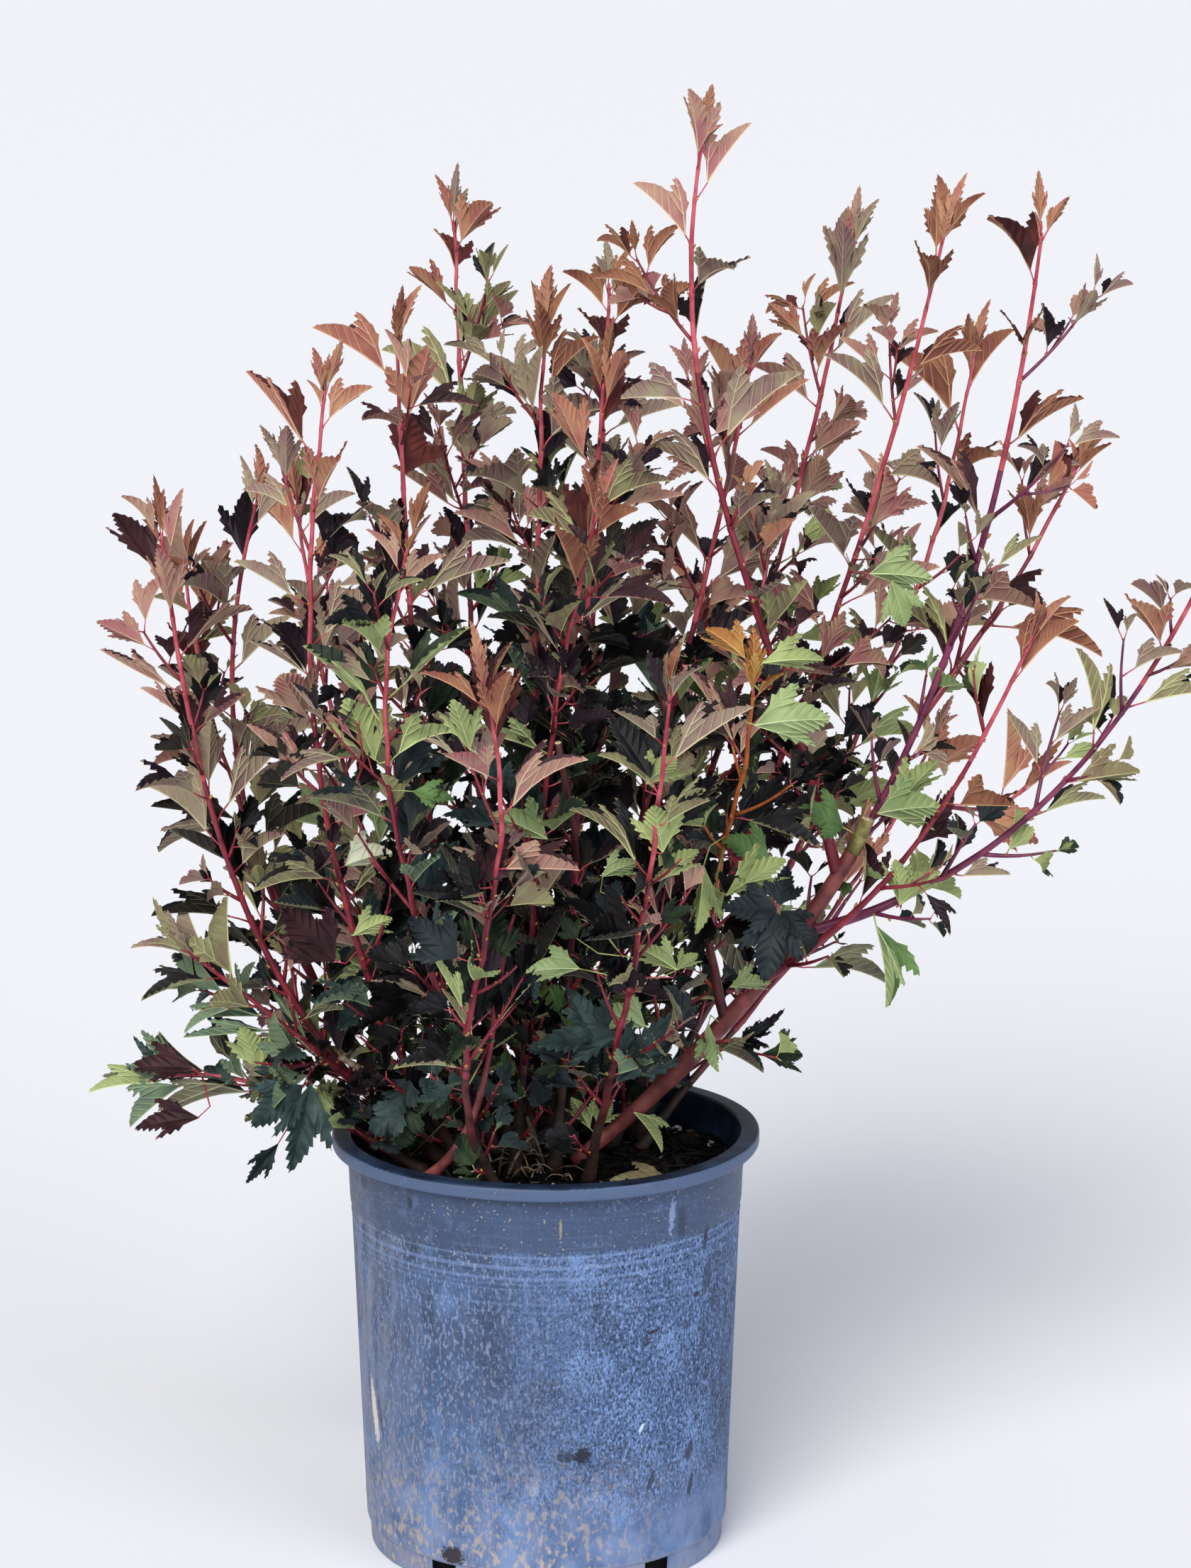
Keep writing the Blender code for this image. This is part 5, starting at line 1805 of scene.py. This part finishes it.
@dataclass
class NurseryPot:
    """Tapered nursery pot with a rolled rim, a collar step, an inset foot and drain slots."""

    height: float = 0.300
    wall: float = 0.0020
    floor: float = 0.0025
    segments: int = 176
    rim_radius: float = 0.1503
    rim_depth: float = 0.0100
    rim_round: float = 0.0022
    top_radius: float = 0.1391
    body_foot_radius: float = 0.1288
    body_foot_height: float = 0.0195
    collar_height: float = 0.0500
    collar_step: float = 0.0008
    foot_radius: float = 0.1262
    foot_height: float = 0.0180
    slots: int = 5
    slot_turn: float = 38.0
    slot_width: float = 0.0200
    slot_height: float = 0.0160
    slot_reach: float = 0.0150

    def wall_radius(self, height: float) -> float:
        """Outer radius of the tapered body at a height."""
        share = (height - self.body_foot_height) / (self.height - self.rim_depth - self.body_foot_height)
        return self.body_foot_radius + (self.top_radius - self.body_foot_radius) * share

    def detailed_radius(self, height: float) -> float:
        """Outer radius with the collar's step and the faint rings above and below it."""
        collar = self.height - self.collar_height
        step = self.collar_step / 2 * math.tanh((height - collar) / 0.0012)
        rings = sum(0.00035 * math.exp(-((height - ring) / 0.0016) ** 2) for ring in (0.276, 0.243, 0.034))
        return self.wall_radius(height) + step + rings

    def profile(self) -> list[tuple[float, float]]:
        """Closed section of the pot, from the axis under the floor round to the axis on it."""
        under, inner = self.height - self.rim_depth, self.top_radius - self.wall
        quarter = [math.radians(angle) for angle in (0, 22, 45, 68, 90)]

        def corner(radius: float, height: float, start: float) -> list[tuple[float, float]]:
            """Rounded corner about a centre, over a quarter turn."""
            return [
                (radius + self.rim_round * math.cos(math.radians(start) + turn),
                 height + self.rim_round * math.sin(math.radians(start) + turn)) for turn in quarter
            ]

        foot = self.body_foot_height
        heights = [foot + (under - foot) * step / 110 for step in range(111)]
        outside = [(0.0, 0.0), (self.foot_radius - 0.0016, 0.0), (self.foot_radius - 0.0008, 0.0006)]
        outside += [(self.foot_radius, self.foot_height - 0.0006)]
        outside += [(self.body_foot_radius - 0.0007, self.foot_height)]
        outside += [(self.detailed_radius(height), height) for height in heights]
        rim = corner(self.rim_radius - self.rim_round, under + self.rim_round, -90.0)
        rim += corner(self.rim_radius - self.rim_round, self.height - self.rim_round, 0.0)
        rim += [(self.rim_radius - 0.0055, self.height - 0.0003)]
        rim += corner(inner + self.rim_round, self.height - self.rim_round, 90.0)
        inside = [(self.wall_radius(height) - self.wall, height) for height in reversed(heights[::10][:-1])]
        inside += [(self.foot_radius - self.wall, self.foot_height - self.wall)]
        inside += [(self.foot_radius - self.wall, self.floor), (0.0, self.floor)]
        return outside + rim + inside

    def turned(self, profile: Sequence[tuple[float, float]]) -> tuple[np.ndarray, np.ndarray]:
        """Turn a section that starts and ends on the axis into a closed mesh.

        Args:
            profile: Radius and height of each point.

        Returns:
            Points and triangles.
        """
        turns = np.arange(self.segments) * math.tau / self.segments
        inner = np.array(profile[1:-1])
        oval = 1.0 + 0.0011 * np.sin(2 * turns + 0.6)
        radius = inner[:, 0, None] * oval[None]
        height = inner[:, 1, None] + 0.0005 * np.sin(3 * turns + 1.0)[None] * (inner[:, 1, None] > 0.28)
        rings = np.stack([radius * np.cos(turns), radius * np.sin(turns), height], -1).reshape(-1, 3)
        points = np.vstack([rings, (0.0, 0.0, profile[0][1]), (0.0, 0.0, profile[-1][1])])
        return points, ring_faces(len(inner), self.segments)

    def cut_slots(self, pot: bpy.types.Object) -> None:
        """Cut the drain slots out of the foot."""
        parts = MeshParts()
        x, y, z = (BOX_CORNERS * (self.slot_reach, self.slot_width / 2, self.slot_height)).T
        x = x + self.foot_radius
        for number in range(self.slots):
            angle = math.radians(-90.0 + self.slot_turn + 360.0 / self.slots * number)
            cos, sin = math.cos(angle), math.sin(angle)
            parts.add(np.stack([x * cos - y * sin, x * sin + y * cos, z], 1), BOX_FACES, 0)
        cutter = parts.build("slot_cutter", [], smooth=False)
        cut = pot.modifiers.new("drain_slots", "BOOLEAN")
        cut.operation, cut.object, cut.solver = "DIFFERENCE", cutter, "EXACT"
        bpy.context.view_layer.update()
        mesh = bpy.data.meshes.new_from_object(pot.evaluated_get(bpy.context.evaluated_depsgraph_get()))
        pot.modifiers.clear()
        pot.data = mesh
        bpy.data.objects.remove(cutter, do_unlink=True)

    def build(self) -> None:
        """Build the pot and dress it."""
        parts = MeshParts()
        parts.add(*self.turned(self.profile()), 0)
        # The same plastic where rain keeps it dark and a little glossy: inside, and along the lip
        damp = Tissue("damp_pot_polyethylene", "#0e182a", "#22344f", 0.40, 1.49, 24.0, 1.6, 0.06, gloss=0.35)
        pot = parts.build("nursery_pot", [PotPlastic().make(), damp.make()], smooth=True)
        self.cut_slots(pot)
        for face in pot.data.polygons:
            radius, height = math.hypot(face.center.x, face.center.y), face.center.z
            wall = self.wall_radius(height) if height > self.body_foot_height else self.foot_radius
            inside = radius < wall - self.wall / 2 and height > self.floor - 0.0005
            face.material_index = int(inside or height > self.height - 0.0010)
        pot.data.set_sharp_from_angle(angle=math.radians(34.0))
        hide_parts("pot")


@dataclass
class PottingMix:
    """Filled plug of bark mix with loose chips and perlite on its uneven top."""

    pot: NurseryPot
    top: float = SOIL_TOP
    relief: float = 0.0034
    chips: int = 1500
    perlite: int = 34
    chip_reach: float = 0.1325
    # How often a chip is black, brown, tan or a pale splinter
    chip_shares: tuple[int, ...] = (80, 15, 3, 2)

    def lift(self, x: float, y: float) -> float:
        """Height of the uneven top at a place."""
        coarse = noise.noise(Vector((x * 38.0, y * 38.0, 0.3)))
        return self.top + self.relief * (coarse + 0.5 * noise.noise(Vector((x * 130.0, y * 130.0, 2.0))))

    def plug(self) -> None:
        """Build the plug."""
        inset = self.pot.wall + GAP
        edge = self.pot.wall_radius(self.top) - inset - 0.0004
        profile = [(0.0, self.pot.floor + GAP), (self.pot.foot_radius - inset - 0.0003, self.pot.floor + GAP)]
        profile += [(self.pot.foot_radius - inset - 0.0003, self.pot.foot_height - self.pot.wall)]
        profile += [(self.pot.body_foot_radius - inset - 0.0004, self.pot.body_foot_height + GAP)]
        profile += [(edge, self.top - 0.004)] + [(edge * step / 46, self.top) for step in range(46, -1, -1)]
        points, faces = self.pot.turned(profile)
        for point in points:
            if point[2] > self.top - 0.001:
                point[2] = self.lift(point[0], point[1])
        parts = MeshParts()
        parts.add(points, faces, 0)
        # Composted bark, moist and nearly black, which takes almost all the light
        mix = Tissue("moist_bark_mix", "#020202", "#070605", 0.9, 1.45, 5.0, 2.0, 1.2, gloss=0.12)
        soil = parts.build("potting_mix_plug", [mix.make()], True)
        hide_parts("soil")

    def scatter(self) -> None:
        """Build the loose chips and perlite."""
        draw = random.Random(77)
        parts = MeshParts()
        for number in range(self.chips + self.perlite):
            white = number >= self.chips
            long = draw.uniform(0.0022, 0.0045) if white else min(0.022, draw.lognormvariate(-5.0, 0.45))
            size = (long, long * draw.uniform(0.7, 1.0), long * 0.7) if white else (
                long, long * draw.uniform(0.14, 0.5), long * draw.uniform(0.06, 0.16))
            reach = self.chip_reach - long / 2
            radius, turn = reach * math.sqrt(draw.random()), draw.uniform(0.0, math.tau)
            x, y = radius * math.cos(turn), radius * math.sin(turn)
            ahead = Vector((draw.gauss(0, 1), draw.gauss(0, 1), draw.gauss(0, 0.22))).normalized()
            flat = Vector((draw.gauss(0, 0.3), draw.gauss(0, 0.3), 1.0))
            flat = (flat - ahead * flat.dot(ahead)).normalized()
            frame_of = np.array([tuple(ahead), tuple(flat.cross(ahead)), tuple(flat)])
            worn = np.array([[draw.uniform(-0.35, 0.2)] for _ in BOX_CORNERS])
            shape = BOX_CORNERS / 2 * (1.0 + worn) * size
            places = shape @ frame_of + (x, y, self.lift(x, y) + draw.uniform(0.0003, 0.0028))
            finish = 4 if white else draw.choices(range(4), self.chip_shares)[0]
            parts.add(places, BOX_FACES, finish)
        # Dry and moist bark chips, bare splinters, and puffed volcanic glass
        finishes = [
            Tissue("chip_black", "#040404", "#0b0909", 0.7, 1.45, 3.0, 0.8, 0.2, gloss=0.2),
            Tissue("chip_brown", "#0d0a09", "#1d1714", 0.8, 1.45, 3.0, 0.8, 0.2, gloss=0.2),
            Tissue("chip_tan", "#3a332b", "#5a5245", 0.85, 1.45, 3.0, 0.8, 0.2),
            Tissue("splinter_pale", "#68706c", "#8b938c", 0.8, 1.45, 3.0, 0.8, 0.2),
            Tissue("perlite", "#a4acb0", "#cfd6d9", 0.9, 1.50, 1.5, 0.5, 0.2),
        ]
        chips = parts.build("potting_mix_chips", [finish.make() for finish in finishes], False)

    def build(self) -> None:
        """Build the plug and what lies on it."""
        self.plug()
        self.scatter()


@dataclass
class Litter:
    """Dead stick, dry stalks and a few fallen leaves on the mix."""

    mix: PottingMix
    stick: tuple[tuple[float, float, float], ...] = (
        (-0.030, 0.016, 0.277), (-0.052, 0.009, 0.291), (-0.076, 0.000, 0.312), (-0.111, -0.020, 0.336),
        (-0.142, -0.040, 0.362),
    )
    stick_radii: tuple[float, ...] = (0.0012, 0.0034, 0.0036, 0.0030, 0.0022)
    stalks: int = 26
    stalk_middle: tuple[float, float] = (-0.018, -0.028)
    stalk_bow: float = 0.006
    # Place, heading in degrees anticlockwise from +X, length and tint of each fallen leaf
    fallen: tuple[tuple[float, float, float, float, Tint], ...] = (
        (0.088, -0.052, 174.0, 0.046, Tint.FALLEN), (0.016, 0.108, 60.0, 0.034, Tint.AMBER),
        (-0.006, 0.112, 130.0, 0.038, Tint.FALLEN), (-0.075, 0.050, 210.0, 0.036, Tint.FALLEN),
        (0.060, 0.080, 320.0, 0.030, Tint.FALLEN),
    )

    def build(self) -> None:
        """Build the dead wood and the fallen leaves as one piece each."""
        draw = random.Random(31)
        wood, across = MeshParts(), Vector((0.0, 0.0, 1.0))
        wood.add(*tube(self.stick, self.stick_radii, 8, across), 0)
        for _ in range(self.stalks):
            x, y = (middle + draw.gauss(0.0, 0.016) for middle in self.stalk_middle)
            foot = Vector((x, y, self.mix.lift(x, y) - 0.001))
            lean = Vector((draw.gauss(0.0, 0.9), draw.gauss(-0.2, 0.9), draw.uniform(0.1, 0.9))).normalized()
            long = draw.uniform(0.016, 0.044)
            bows = [(part, math.sin(math.pi * part)) for part in (0.0, 0.35, 0.7, 1.0)]
            path = [foot + lean * long * part + UP * self.stalk_bow * bow for part, bow in bows]
            radii = draw.uniform(0.0004, 0.0011) * np.array([1.0, 1.0, 0.8, 0.4])
            wood.add(*tube(path, radii, 5, lean.orthogonal()), draw.choice((0, 0, 1)))
        # Grey, weathered wood, and the straw colour of stalks that died this year
        straw = Tissue("dead_straw", "#6e5c45", "#a8926e", 0.75, 1.45, 4.0, 0.8, 0.1)
        item = wood.build("dead_wood", [Wood.DEAD.value.make(), straw.make()], smooth=True)
        leaves, blade = MeshParts(), Blade(Form.LONG.value)
        for x, y, turn, length, tint in self.fallen:
            along = Vector((math.cos(math.radians(turn)), math.sin(math.radians(turn)), 0.06)).normalized()
            base = Vector((x, y, self.mix.lift(x, y) + 0.004))
            upper = (Vector((draw.gauss(0.0, 0.12), -0.25, 1.0)) - along * along.z).normalized()
            upper = (upper - along * upper.dot(along)).normalized()
            leaf = Leaf(
                base, base, along, upper, length, Form.LONG, tint, fold=0.15, curl=0.3, twist=0.1, wide=1.0,
            )
            leaves.add(*blade.placed([leaf]))
        materials = [finish.make() for tint in Tint for finish in tint.finishes()]
        item = leaves.build("fallen_leaves", materials, smooth=False)


@dataclass
class Studio:
    """Pale floor, soft light and a camera at the photographed angle."""

    floor_radius: float = 60.0
    floor_sides: int = 96

    def light(
        self, name: str, place: tuple[float, float, float], spread: float, strength: float, code: str
    ) -> None:
        """Add one soft, far light that faces the crown.

        Args:
            name: Its name.
            place: Which way it lies.
            spread: Angle that it fills, in degrees, which softens its shadows.
            strength: Strength in watts per square metre.
            code: Colour as sRGB hex.
        """
        data = bpy.data.lights.new(name, "SUN")
        data.angle, data.energy, data.color = math.radians(spread), strength, linear(code)[:3]
        item = bpy.data.objects.new(name, data)
        item.location = place
        item.rotation_euler = (-Vector(place)).to_track_quat("-Z", "Y").to_euler()
        bpy.context.scene.collection.objects.link(item)

    def build(self) -> None:
        """Build floor, lights and camera."""
        sides, reach = self.floor_sides, self.floor_radius
        turns = [math.tau * step / sides for step in range(sides)]
        points = [(reach * math.cos(turn), reach * math.sin(turn), 0.0) for turn in turns]
        mesh = bpy.data.meshes.new("floor")
        mesh.from_pydata(points, [], [tuple(range(sides))])
        # Matt floor paint, pale and a little cool, plain so that nothing on it draws the eye
        paint, shader = start_material("floor_paint", 0.9, 1.45)
        shader.inputs["Base Color"].default_value = linear("#f1f4fb")
        mesh.materials.append(paint)
        floor = bpy.data.objects.new("floor", mesh)
        bpy.context.scene.collection.objects.link(floor)
        scene = bpy.context.scene
        world = bpy.data.worlds.new("pale_surround")
        world.use_nodes = True
        world.node_tree.nodes["Background"].inputs["Color"].default_value = linear("#f6f8ff")
        world.node_tree.nodes["Background"].inputs["Strength"].default_value = 0.40
        scene.world = world
        self.light("key_light", (-1.1, -3.2, 2.5), 34.0, 2.9, "#fffaf2")
        self.light("fill_light", (2.6, -2.6, 1.3), 40.0, 1.15, "#f4f7ff")
        scene.view_settings.view_transform = "Standard"
        data = bpy.data.cameras.new("camera")
        data.lens, data.sensor_width = LENS, SENSOR
        camera = bpy.data.objects.new("camera", data)
        camera.location = EYE
        camera.rotation_euler = (math.radians(90.0) - EYE_PITCH, 0.0, 0.0)
        scene.collection.objects.link(camera)
        scene.camera = camera


def main() -> None:
    """Build every sub-assembly in order."""
    logging.basicConfig(level=logging.INFO, format="%(message)s")
    Studio().build()
    pot = NurseryPot()
    pot.build()
    mix = PottingMix(pot)
    mix.build()
    Litter(mix).build()
    Crown().build()


if __name__ == "__main__":
    main()
